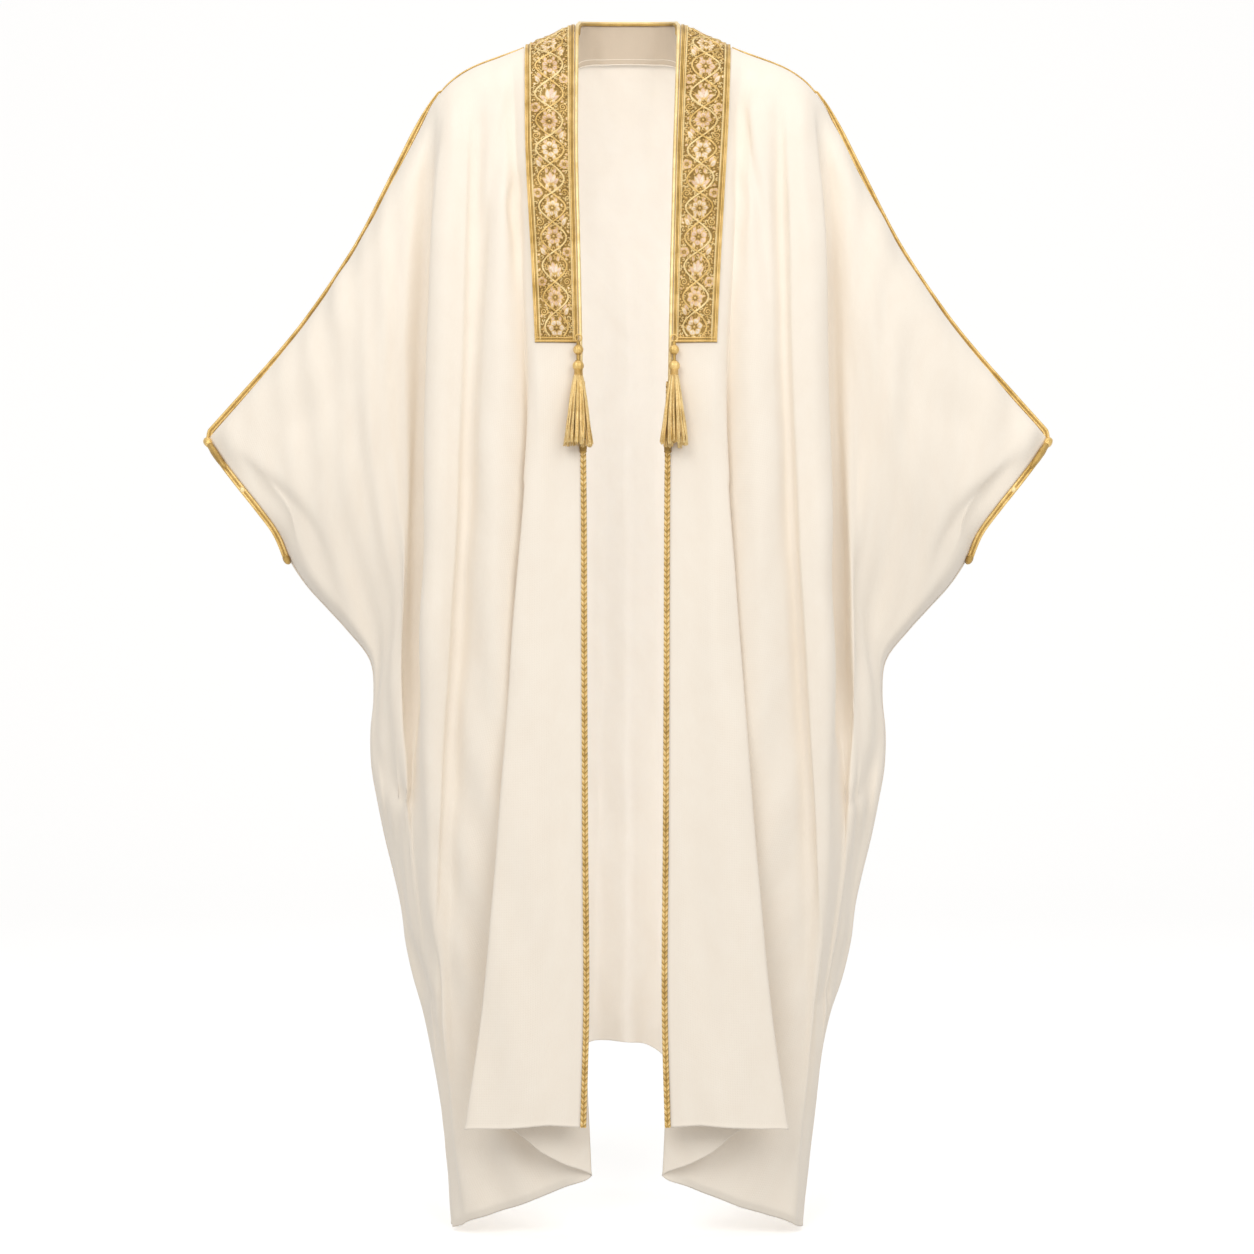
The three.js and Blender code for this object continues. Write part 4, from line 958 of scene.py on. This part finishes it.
def make_front_cord(side):
    """Two ropes of opposite twist side by side, which look plaited, bound with dark thread at their start."""
    name = f"{side}_front_cord"
    line = from_top(name, FRONT_ROPE["spacing"])
    gold, bright, dark = Pile(), Pile(), Pile()
    for aside, turn in ((-1, 1), (1, -1)):
        rope = beside(line, aside * FRONT_ROPE["apart"])
        strands = twisted(rope, 3, FRONT_ROPE["around"], turn * FRONT_ROPE["pitch"])
        # Painted highlight and painted shade: the three strands go to pale, mid and dark gold.
        for pile, strand in zip((gold, bright, dark), strands):
            pile.add(*tube(strand, FRONT_ROPE["strand"], 5))
        gold.add(*tube(rope[::3], FRONT_ROPE["core"], 5))
    # Painted shade: a dark line in the gap between the two ropes.
    dark.add(*tube(line[::3], FRONT_ROPE["between"], 5))
    along = running(line)
    bound = line[(along > BINDING["from"]) & (along < BINDING["to"])]
    dark.add(*tube(bound, BINDING["radius"], 10))
    tangents = cord_frame(bound)[0]
    for turn in np.arange(0.5, len(bound) - 1, BINDING["step"]).astype(int):
        ring = circle(bound[turn], BINDING["radius"] + BINDING["proud"], tangents[turn])
        dark.add(*tube(ring, BINDING["thread"], 4))
    finish(gold, f"{name}_strands", GOLD, [name])
    finish(bright, f"{name}_pale_strands", PALE_GOLD, [name])
    # This piece holds the binding, and painted shade: the dark strands and the line between the ropes.
    finish(dark, f"{name}_binding", DARK_GOLD, [name])


def circle(centre, radius, axis, steps=16):
    """Points round a circle about an axis, the first one again at the end."""
    axis = unit(np.asarray(axis, float))
    side = unit(np.cross(axis, FORWARD + 0.01))
    out = np.cross(side, axis)
    turns = np.arange(steps + 1) * math.tau / steps
    return centre + radius * (np.cos(turns)[:, None] * side + np.sin(turns)[:, None] * out)


NECK = {"net": 0.004, "spacing": 0.0022, "radius": 0.0023, "rounding": 9, "top": -0.02, "middle": -0.03}
# Painted shade: a dark rope below the piping's top, where its lower side is in shade.
NECK_SHADE_ROPE = {"spacing": 0.0014, "strand": 0.0013, "around": 0.0007, "pitch": 0.0055, "under": 0.0034,
             "forward": -0.0014}


def make_neck_cord():
    """Round piping up both front edges and across the back of the neck, with a dark rope of painted shade
    under its top.
    """
    line = cord_line("neck_cord")
    line = resampled(through(line, stretches(line, NECK["net"])), NECK["spacing"])
    line = line if line[0, 0] < 0 else line[::-1]
    for _ in range(NECK["rounding"]):
        line[1:-1] = (line[:-2] + 2 * line[1:-1] + line[2:]) / 4
    light, dark = Pile(), Pile()
    light.add(*tube(line, NECK["radius"], 10))
    # Painted shade: a dark rope below the piping's top.
    top = resampled(line[line[:, 2] > NECK["top"]], NECK_SHADE_ROPE["spacing"])
    middle = np.array([0, top[:, 1].mean(), NECK["middle"]])
    below = top + unit(middle - top) * NECK_SHADE_ROPE["under"] + (0, NECK_SHADE_ROPE["forward"], 0)
    add_rope(dark, below, NECK_SHADE_ROPE)
    finish(light, "neck_cord_piping", PALE_GOLD, ["neck_cord"])
    finish(dark, "neck_cord_rope", DARK_GOLD, ["neck_cord"])


# ---------------------------------------------------------------- embroidered bands

BAND = {"width": 0.054, "border": 0.0072, "foot": 0.0062, "unit": 0.0355, "swing": 0.0150, "step": 0.002,
        "ground": 0.0012, "last_column": 3}
PETAL_RISE = 0.0013
OUTLINE = 0.00050
VEIN = 0.0003
SUNK = {"mound": 0.0003, "knot": 0.0002}     # how far forms reach into the ground
# What fills the field between the flowers. The last four are where one kind of form ends and the next begins.
FILLING = {"spacing": 0.0041, "closer": 0.87, "loose": 0.00035, "pale": 0.30, "curls": 0.66, "petals": 0.75,
           "leaves": 0.84}
GROUND_NET = {"spacing": 0.004, "columns": 19, "short": 0.0005, "under": 0.0001}


class Strip:
    """A flat strip laid on a front from its lower edge up to the seam. Flat places are (a, e, h): a from the
    front edge outwards, e up from the lower edge, and h out from the cloth."""

    def __init__(self, sheet, bottom):
        inside = np.nonzero(sheet.columns <= BAND["last_column"] + 1e-6)[0]
        columns = [sheet.points[:, j] for j in inside]
        normals = [sheet.normals[:, j] for j in inside]
        lengths = []
        for points in columns:
            along = running(points)
            lengths.append(np.interp(-bottom, -points[:, 2], along))
        self.tops = np.array(lengths)
        rows = math.ceil(self.tops.max() / BAND["step"]) + 1
        self.grid = np.zeros((rows, len(inside), 3))
        self.out = np.zeros((rows, len(inside), 3))
        up = np.arange(rows) * BAND["step"]
        for j, (points, normal, top) in enumerate(zip(columns, normals, lengths)):
            along = running(points)
            places = np.maximum(top - up, 0)
            for axis in range(3):
                self.grid[:, j, axis] = np.interp(places, along, points[:, axis])
                self.out[:, j, axis] = np.interp(places, along, normal[:, axis])
        self.out = unit(self.out)
        steps = np.linalg.norm(np.diff(self.grid, axis=1), axis=-1).mean(axis=0)
        self.across = np.concatenate([[0], np.cumsum(steps)])
        self.across *= BAND["width"] / self.across[-1]

    def top(self, a):
        """How high the strip reaches above its lower edge."""
        return np.interp(a, self.across, self.tops)

    def lay(self, flat):
        """Flat places, moved onto the strip."""
        flat = np.asarray(flat, float)
        rows, columns = self.grid.shape[:2]
        i = np.clip(flat[:, 1] / BAND["step"], 0, rows - 1.001)
        j = np.clip(np.interp(flat[:, 0], self.across, np.arange(columns)), 0, columns - 1.001)
        i0, j0 = i.astype(int), j.astype(int)
        fi, fj = (i - i0)[:, None], (j - j0)[:, None]

        def blend(grid):
            upper = grid[i0, j0] * (1 - fj) + grid[i0, j0 + 1] * fj
            lower = grid[i0 + 1, j0] * (1 - fj) + grid[i0 + 1, j0 + 1] * fj
            return upper * (1 - fi) + lower * fi

        return blend(self.grid) + unit(blend(self.out)) * flat[:, 2:]


def flat_line(places, height):
    """A flat path with a height for all of it."""
    places = np.asarray(places, float)
    return np.concatenate([places, np.full((len(places), 1), height)], axis=1)


def dome(outline, height, base, rings=(1.0, 0.86, 0.5)):
    """A soft low mound over a closed flat outline, closed below."""
    outline = np.asarray(outline, float)
    centre = outline.mean(axis=0)
    count = len(outline)
    points = [flat_line(centre + (outline - centre) * share, base + height * math.sqrt(1 - share * share))
              for share in rings]
    every = np.concatenate([*points, [[*centre, base + height], [*centre, base]]])
    last = len(rings) * count
    around = np.arange(count)
    after = (around + 1) % count
    top = np.stack([last - count + around, last - count + after, np.full(count, last)], axis=1)
    below = np.stack([after, around, np.full(count, last + 1)], axis=1)
    body = grid_faces(len(rings), count, closed=True)[:, ::-1]
    return every, body, top, below


def leaf_outline(place, angle, length, width, bend=0.0, points=12, blunt=0.8):
    """A closed outline from its foot along an angle, widest past the middle, bent to one side."""
    half = points // 2
    t = np.concatenate([np.linspace(0, 1, half + 1), np.linspace(1, 0, half + 1)[1:-1]])
    sign = np.concatenate([np.ones(half + 1), -np.ones(half - 1)])
    wide = width / 2 * np.sin(np.pi * t ** blunt) * sign
    along = length * t
    aside = wide + bend * length * np.sin(np.pi * t / 2) ** 2
    turn = np.array([[math.cos(angle), math.sin(angle)], [-math.sin(angle), math.cos(angle)]])
    return np.asarray(place) + np.stack([along, aside], axis=1) @ turn


def spiral(place, angle, radius, turns, hand=1, steps=None):
    """A flat scroll that winds in from its rim."""
    count = steps or int(14 * turns) + 4
    t = np.linspace(0, 1, count)
    r = radius * (1 - 0.86 * t ** 0.9)
    turn = angle + hand * turns * math.tau * t
    return np.asarray(place) + r[:, None] * np.stack([np.cos(turn), np.sin(turn)], axis=1)


class Embroidery:
    """Gathers a band's stitched forms by colour, in flat places, and lays them on its strip."""

    def __init__(self, strip, seed, hand):
        self.strip = strip
        self.dice = np.random.default_rng(seed)
        self.hand = hand
        self.piles = {key: Pile() for key in ("gold", "pale", "dark", "petal", "blush")}
        self.taken = []

    def reaches(self, place, radius):
        """Whether a form fits below the shoulder seam and inside the borders."""
        low, high = BAND["border"], BAND["width"] - BAND["border"]
        inside = low - 0.001 < place[0] < high + 0.001
        return inside and BAND["foot"] < place[1] < self.strip.top(place[0]) - radius

    def take(self, place, radius):
        """Keeps a round place free of the filling."""
        self.taken.append((*place, radius))

    def add(self, key, every, *faces):
        """Adds a flat form to a colour's pile, laid on the strip."""
        self.piles[key].add(self.strip.lay(every), *faces)

    def cord(self, key, places, radius, height, strands=1, pitch=None, sides=5):
        """A cord along flat places, of one strand or of several twisted ones."""
        line = flat_line(places, BAND["ground"] + height)
        for strand in [line] if strands == 1 else twisted(line, strands, radius, pitch, UPWARD):
            self.add(key, *tube(strand, radius, sides, UPWARD))

    def mound(self, key, outline, height=PETAL_RISE, rim="gold"):
        """A padded form in satin stitch, with a fine cord round it."""
        self.add(key, *dome(outline, height, BAND["ground"] - SUNK["mound"]))
        if rim:
            self.cord(rim, np.concatenate([outline, outline[:2]]), OUTLINE, SUNK["mound"], sides=4)

    def knot(self, key, place, radius):
        """A small round knot, turned by its place so that no two look alike."""
        turns = np.arange(6) * math.tau / 6 + place[0] * 900
        ring = np.asarray(place) + radius * np.stack([np.cos(turns), np.sin(turns)], axis=1)
        self.add(key, *dome(ring, radius * 0.9, BAND["ground"] - SUNK["knot"], (1.0, 0.7)))

    def rosette(self, place, radius, petals, colour):
        """A flower in the round: petals with veins, a dark cord ring and a raised heart."""
        if not self.reaches(place, radius * 0.55):
            return
        self.take(place, radius * 1.02)
        place = np.asarray(place)
        start = self.dice.uniform(0, math.tau)
        heart = radius * 0.26
        for k in range(petals):
            angle = start + k * math.tau / petals
            away = np.array([math.cos(angle), math.sin(angle)])
            foot = place + away * heart * 0.95
            length = radius - heart
            outline = leaf_outline(foot, angle, length, radius * 4.6 / petals, 0.0, 14, 1.3)
            self.mound(colour, outline)
            vein = [foot + away * length * share for share in (0.1, 0.35, 0.62)]
            self.cord("gold", vein, VEIN, PETAL_RISE * 0.95, sides=4)
        turns = np.linspace(0, math.tau, 17)
        ring = place + heart * np.stack([np.cos(turns), np.sin(turns)], axis=1)
        self.cord("dark", ring, 0.00045, 0.0008, sides=4)
        self.knot("gold", place, heart * 0.85)

    def tulip(self, place, angle, size, colour):
        """An opening bud: two outer petals over a middle one, on a cup of leaves."""
        if not self.reaches(place, size * 0.4):
            return
        place = np.asarray(place)
        away = np.array([math.cos(angle), math.sin(angle)])
        self.take(place + away * size * 0.45, size * 0.5)
        self.mound("blush", leaf_outline(place, angle, size, size * 0.42, 0, 12, 1.2))
        for sign in (-1, 1):
            self.mound(colour, leaf_outline(place, angle + sign * 0.50, size * 0.86, size * 0.36,
                                            -sign * 0.12, 12, 1.1))
            cup = leaf_outline(place - away * size * 0.1, angle + sign * 1.15, size * 0.5, size * 0.16,
                               -sign * 0.35, 10)
            self.mound("pale", cup, PETAL_RISE * 0.8, None)

    def leaf(self, place, angle, length, width, bend, colour):
        """A bent leaf with one vein."""
        if not self.reaches(place, length * 0.3):
            return
        outline = leaf_outline(place, angle, length, width, bend, 12, 0.9)
        self.take(outline.mean(axis=0), length * 0.36)
        self.mound(colour, outline)
        self.cord("gold", [outline[0], outline.mean(axis=0)], VEIN, PETAL_RISE * 0.9, sides=4)

    def scroll(self, place, angle, radius, turns, hand, key="gold"):
        """A wound cord, in from its rim."""
        if not self.reaches(place, radius * 0.7):
            return
        self.take(place, radius * 0.95)
        self.cord(key, spiral(place, angle, radius, turns, hand), 0.00062, 0.0004)

    def fill(self):
        """Small curls and knots in what is left of the field."""
        spacing = FILLING["spacing"]
        low, high = BAND["border"] + 0.001, BAND["width"] - BAND["border"] - 0.001
        rows = np.arange(BAND["foot"] + 0.0015, self.strip.tops.max(), spacing * FILLING["closer"])
        for row, e in enumerate(rows):
            for a in np.arange(low + (row % 2) * spacing / 2, high, spacing):
                place = np.array([a, e]) + self.dice.normal(size=2) * FILLING["loose"]
                busy = any(math.hypot(place[0] - x, place[1] - y) < r for x, y, r in self.taken)
                if busy or not self.reaches(place, 0.001):
                    continue
                turn = self.dice.uniform(0, math.tau)
                kind = self.dice.uniform()
                if kind < FILLING["curls"]:
                    curl = spiral(place, turn, 0.0023, 0.72, self.dice.choice((-1, 1)), 10)
                    self.cord("pale" if kind < FILLING["pale"] else "gold", curl, 0.00072, 0.0004, sides=4)
                elif kind < FILLING["leaves"]:
                    small_leaf = leaf_outline(place, turn, 0.0042, 0.0025, 0.15, 8, 0.9)
                    self.mound("petal" if kind < FILLING["petals"] else "blush", small_leaf, PETAL_RISE * 0.8)
                else:
                    self.knot("gold", place, 0.0014)

    def borders(self):
        """Cords down both sides and along the lower edge."""
        width = BAND["width"]
        sides = [("gold", 0.0006, 0.0010, 1, 0.0002), ("dark", 0.0024, 0.0010, 1, 0.0006),
                 ("gold", 0.0042, 0.0009, 1, 0.0006), ("pale", 0.0060, 0.0007, 2, 0.0008),
                 ("pale", width - 0.0062, 0.0007, 2, 0.0008), ("dark", width - 0.0044, 0.0009, 1, 0.0004),
                 ("gold", width - 0.0027, 0.0009, 1, 0.0005), ("gold", width - 0.0010, 0.0008, 2, 0.0006)]
        for key, a, radius, strands, height in sides:
            top = self.strip.top(a) - 0.0008
            spacing = 0.0013 if strands > 1 else 0.004
            e = np.linspace(0.0008, top, int(top / spacing))
            self.cord(key, np.stack([np.full(len(e), a), e], axis=1), radius, height, strands, 0.0048)
        for key, e, radius, strands in (("gold", 0.0016, 0.0009, 2), ("dark", 0.0035, 0.0008, 1),
                                        ("gold", 0.0054, 0.0007, 2)):
            a = np.linspace(0.0025, width - 0.001, 38)
            self.cord(key, np.stack([a, np.full(len(a), e)], axis=1), radius, 0.0008, strands, 0.0048)

    def stems(self):
        """Two sinuous stems that cross again and again, so that they frame a row of flowers."""
        e = np.arange(BAND["foot"] + 0.001, self.strip.tops.max(), 0.0016)
        for sign in (-1, 1):
            a = BAND["width"] / 2 + sign * BAND["swing"] * np.sin(math.pi * e / BAND["unit"])
            a = a + 0.0006 * np.sin(e * 190 + sign)
            keep = e < self.strip.top(a) - 0.002
            places = np.stack([a, e], axis=1)[keep]
            self.cord("pale" if sign == self.hand else "gold", places, 0.00085, 0.0008, 2, 0.005)
            for place in places[::2]:
                self.take(place, 0.0018)

    def design(self):
        """A flower in each frame of the stems, and buds, leaves, small flowers and scrolls round it."""
        middle = BAND["width"] / 2
        unit_length = BAND["unit"]
        up = math.pi / 2
        for k in range(int(self.strip.tops.max() / unit_length) + 2):
            e = (k + 0.5) * unit_length + self.dice.normal() * 0.0008
            lean = self.dice.normal() * 0.12
            size = 1 + self.dice.normal() * 0.05
            if k % 3 == 2:
                self.tulip((middle, e - 0.0085), up + lean, 0.0165 * size, "petal")
                for sign in (-1, 1):
                    self.leaf((middle + sign * 0.001, e - 0.0085), up - sign * (1.05 + lean), 0.0120, 0.0056,
                              sign * 0.22, "blush")
            else:
                self.rosette((middle + lean * 0.004, e), 0.0102 * size, (6, 8)[k % 3],
                             ("petal", "blush")[k % 2])
            joint = k * unit_length
            for sign in (-1, 1):
                side = middle + sign * 0.0150
                kind = (k + (sign > 0)) % 3
                if kind == 0:
                    self.rosette((side + sign * 0.0008, joint), 0.0062 * size, 5, "blush")
                elif kind == 1:
                    self.leaf((side - sign * 0.0052, joint - 0.0040), up - sign * 0.8, 0.0118, 0.0056,
                              sign * 0.2, "petal")
                    self.leaf((side - sign * 0.0056, joint + 0.0015), up - sign * 0.2, 0.0090, 0.0046,
                              -sign * 0.2, "blush")
                else:
                    self.scroll((side, joint), up * sign, 0.0052, 1.7, sign)
                self.scroll((middle + sign * 0.0062, e + sign * 0.0128), lean * 9, 0.0031, 1.2, sign, "pale")
                self.leaf((middle + sign * 0.0040, joint + 0.0042), up - sign * 0.35, 0.0078, 0.0040,
                          sign * 0.2, "petal")
                self.leaf((middle + sign * 0.0040, joint - 0.0042), -up + sign * 0.35, 0.0078, 0.0040,
                          -sign * 0.2, "blush")
            self.knot("pale", (middle, joint + BAND["foot"] * (k == 0)), 0.0020)


def make_ground(strip, name, node_name):
    """The stiff strip that the band is stitched on."""
    rows = int(strip.tops.max() / GROUND_NET["spacing"])
    a = np.linspace(0, BAND["width"], GROUND_NET["columns"])
    places = [(x, s * (strip.top(x) - GROUND_NET["short"])) for s in np.linspace(0, 1, rows) for x in a]
    every = np.concatenate([strip.lay(flat_line(places, height)) for height in (BAND["ground"],
                                                                               GROUND_NET["under"])])
    faces = facing_out(every, shell_faces(rows, len(a)))
    return make_piece(name, every, faces.tolist(), GROUND, [node_name])


def make_band(side, sheet, seed):
    """One embroidered band: its ground, and its stitches in one piece for each colour."""
    node_name = f"{side}_band"
    strip = Strip(sheet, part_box(node_name)[0].z)
    work = Embroidery(strip, seed, 1 if side == "right" else -1)
    work.borders()
    work.stems()
    work.design()
    work.fill()
    turned = sheet.outward < 0
    colours = {"gold": GOLD, "pale": PALE_GOLD, "dark": DARK_GOLD, "petal": PETAL, "blush": BLUSH}
    for key, material in colours.items():
        pile = work.piles[key]
        if turned:
            pile.faces = [face[::-1] for face in pile.faces]
        finish(pile, f"{node_name}_{key}_stitches", material, [node_name])
    ground = make_ground(strip, f"{node_name}_ground", node_name)


# ---------------------------------------------------------------- tassels

TASSEL = {
    "ring": 0.0040, "wire": 0.00095, "lean": 0.12,
    "beads": ({"down": 0.0139, "radius": 0.0056, "length": 0.0108},
              {"down": 0.0326, "radius": 0.0063, "length": 0.0120}),
    "link": {"radius": 0.0021, "from": 0.004, "to": 0.028},
    "collar": {"from": 0.0375, "to": 0.0450, "radius": 0.0042, "pitch": 0.0011},
    "skirt": {"from": 0.0440, "length": 0.0835, "top": 0.0052, "spread": 0.0122, "power": 0.85, "core": 0.62},
    "winding": 0.0006, "bundles": 15, "threads": 15, "thread": 0.00052, "steps": 9, "darker": 0.3,
}


def tassel_frame(side):
    """The middle of a tassel's ring, and unit vectors down it, across it and out of it."""
    low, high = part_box(f"{side}_tassel")
    lean = TASSEL["lean"]
    down = np.array([0.0, -math.sin(lean), -math.cos(lean)])
    ring = np.array([(low.x + high.x) / 2, 0.0, high.z - TASSEL["ring"] - TASSEL["wire"]])
    sample = np.array([v.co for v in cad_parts[f"{side}_tassel"].data.vertices], float)
    ring[1] = sample[sample[:, 2] > ring[2] - TASSEL["ring"], 1].mean()
    across = np.array([1.0, 0.0, 0.0])
    return ring, down, across, np.cross(across, down)


def make_tassel(side, seed):
    """A ring, two beads wound with thread, a bound collar and a skirt of silk threads in loose locks."""
    name = f"{side}_tassel"
    ring, down, across, out = tassel_frame(side)
    dice = np.random.default_rng(seed)
    gold, dark, silk = Pile(), Pile(), Pile()
    hoop = circle(ring, TASSEL["ring"], out, 20)
    gold.add(*tube(hoop, TASSEL["wire"], 7, out + 0.001))
    link = TASSEL["link"]
    dark.add(*tube(ring + down * np.linspace(link["from"], link["to"], 12)[:, None], link["radius"], 8))
    for bead in TASSEL["beads"]:
        gold.add(*ball(ring + down * bead["down"], down, bead["radius"], bead["length"], 12, 48))
        for end in (-1, 1):
            place = ring + down * (bead["down"] + end * bead["length"] * 0.46)
            dark.add(*tube(circle(place, bead["radius"] * 0.48, down), TASSEL["winding"], 5, down + 0.001))
    collar = TASSEL["collar"]
    core = ring + down * np.linspace(collar["from"], collar["to"], 5)[:, None]
    gold.add(*tube(core, collar["radius"], 14))
    for place in np.arange(collar["from"], collar["to"], collar["pitch"]):
        turn = circle(ring + down * place, collar["radius"] + 0.0002, down)
        gold.add(*tube(turn, TASSEL["winding"], 4, down + 0.001))
    skirt = TASSEL["skirt"]
    share = np.linspace(0, 1, TASSEL["steps"])
    wide = skirt["top"] + skirt["spread"] * share ** skirt["power"]
    middle = ring + down * (skirt["from"] + skirt["length"] * share)[:, None]
    dark.add(*tube(middle[:-1], wide[:-1] * skirt["core"], 12))
    for k in range(TASSEL["bundles"]):
        about = (k + dice.uniform(-0.18, 0.18)) * math.tau / TASSEL["bundles"]
        drift = dice.normal() * 0.10
        short = dice.uniform(0.94, 1.0)
        depth = dice.uniform(0.86, 1.0)
        for _ in range(TASSEL["threads"]):
            spread = dice.uniform(-1, 1) * math.tau / TASSEL["bundles"] * 0.42
            layer = depth * (1 - 0.26 * dice.uniform() ** 1.5)
            wave = dice.uniform(0, math.tau)
            turn = about + spread * (1 - 0.12 * share) + drift * share ** 2
            turn = turn + 0.03 * np.sin(share * 5 + wave) * share
            swell = 1 + 0.04 * np.sin(share * 7 + wave)
            radius = wide * layer * swell
            reach = skirt["length"] * short * dice.uniform(0.965, 1.0)
            line = (ring + down * (skirt["from"] + reach * share)[:, None]
                    + across * (np.cos(turn) * radius)[:, None] + out * (np.sin(turn) * radius)[:, None])
            pile = gold if dice.uniform() < TASSEL["darker"] else silk
            pile.add(*tube(line, TASSEL["thread"], 4))
    finish(gold, f"{name}_beads", GOLD, [name])
    finish(dark, f"{name}_core", DARK_GOLD, [name])
    finish(silk, f"{name}_threads", SILK, [name])


# ---------------------------------------------------------------- neck facing

FACING = {"thickness": 0.0012, "spacing": (0.0022, 0.0022), "lift": 0.4, "edge": 0.0008,
          "fold": (0.0052, 0.0070), "forward": 0.0005, "proud": 0.0002,
          "stitches": ((0.0, 0.0009), (0.0052, 0.0005)), "flat": (0.179, 0.065), "area": 0.0075}


def make_facing():
    """The satin strip inside the back of the neck, with two rows of stitches along its lower edge."""
    sheet = Sheet("neck_facing", FACING["spacing"], -1, -1, FACING["thickness"], lift=FACING["lift"])
    sheet.sewn[:] = False
    sheet.find_normals()
    down = sheet.lengths(0)
    left = down[-1] - down
    fold_over = FACING["edge"] * (1 - eased(left, *FACING["fold"]))
    toward_front = np.sign(-sheet.normals[..., 1].mean())
    sheet.points += sheet.normals * (fold_over + FACING["forward"])[..., None] * toward_front
    piece = make_panel(sheet, SHADED_SATIN, FACING["thickness"], False)
    stitches = Pile()
    for up, radius in FACING["stitches"]:
        row = int(np.argmin(np.abs(left[:, left.shape[1] // 2] - up)))
        line = sheet.points[row] + sheet.normals[row] * toward_front * FACING["proud"]
        stitches.add(*tube(resampled(line, FACING["spacing"][0]), radius, 6))
    finish(stitches, "neck_facing_edge", CLOTH_THREAD, ["neck_facing"])


# ---------------------------------------------------------------- the garment

make_camera()
make_lights()

fronts = {
    "right": Sheet("right_front", CLOTH_SPACING["front"], -1, 1, hem_spacing=HEM_SPACING),
    "left": Sheet("left_front", CLOTH_SPACING["front"], -1, -1, hem_spacing=HEM_SPACING),
}
back = Sheet("back", CLOTH_SPACING["back"], 1, -1, hem_spacing=HEM_SPACING)
for number, sheet in enumerate(fronts.values()):
    soften_pleat(sheet)
    soften_sleeve(sheet)
    sheet.find_normals()
    fold(sheet, FRONT_CREASES, 11 + number)
    shape_hem(sheet)
    panel = make_panel(sheet, CLOTH)
fold(back, BACK_CREASES, 29)
shape_hem(back)
panel = make_panel(back, CLOTH)
make_facing()

make_neck_cord()
for number, side in enumerate(fronts):
    make_front_cord(side)
    make_shoulder_piping(side)
    make_arm_cords(side)
    make_cuff_cords(side, "front")
    make_cuff_cords(side, "back")
    make_band(side, fronts[side], 41 + number)
    make_tassel(side, 61 + number)

make_stage(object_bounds()[0].z - FLOOR_BELOW)
bpy.context.scene.view_settings.view_transform = "Standard"
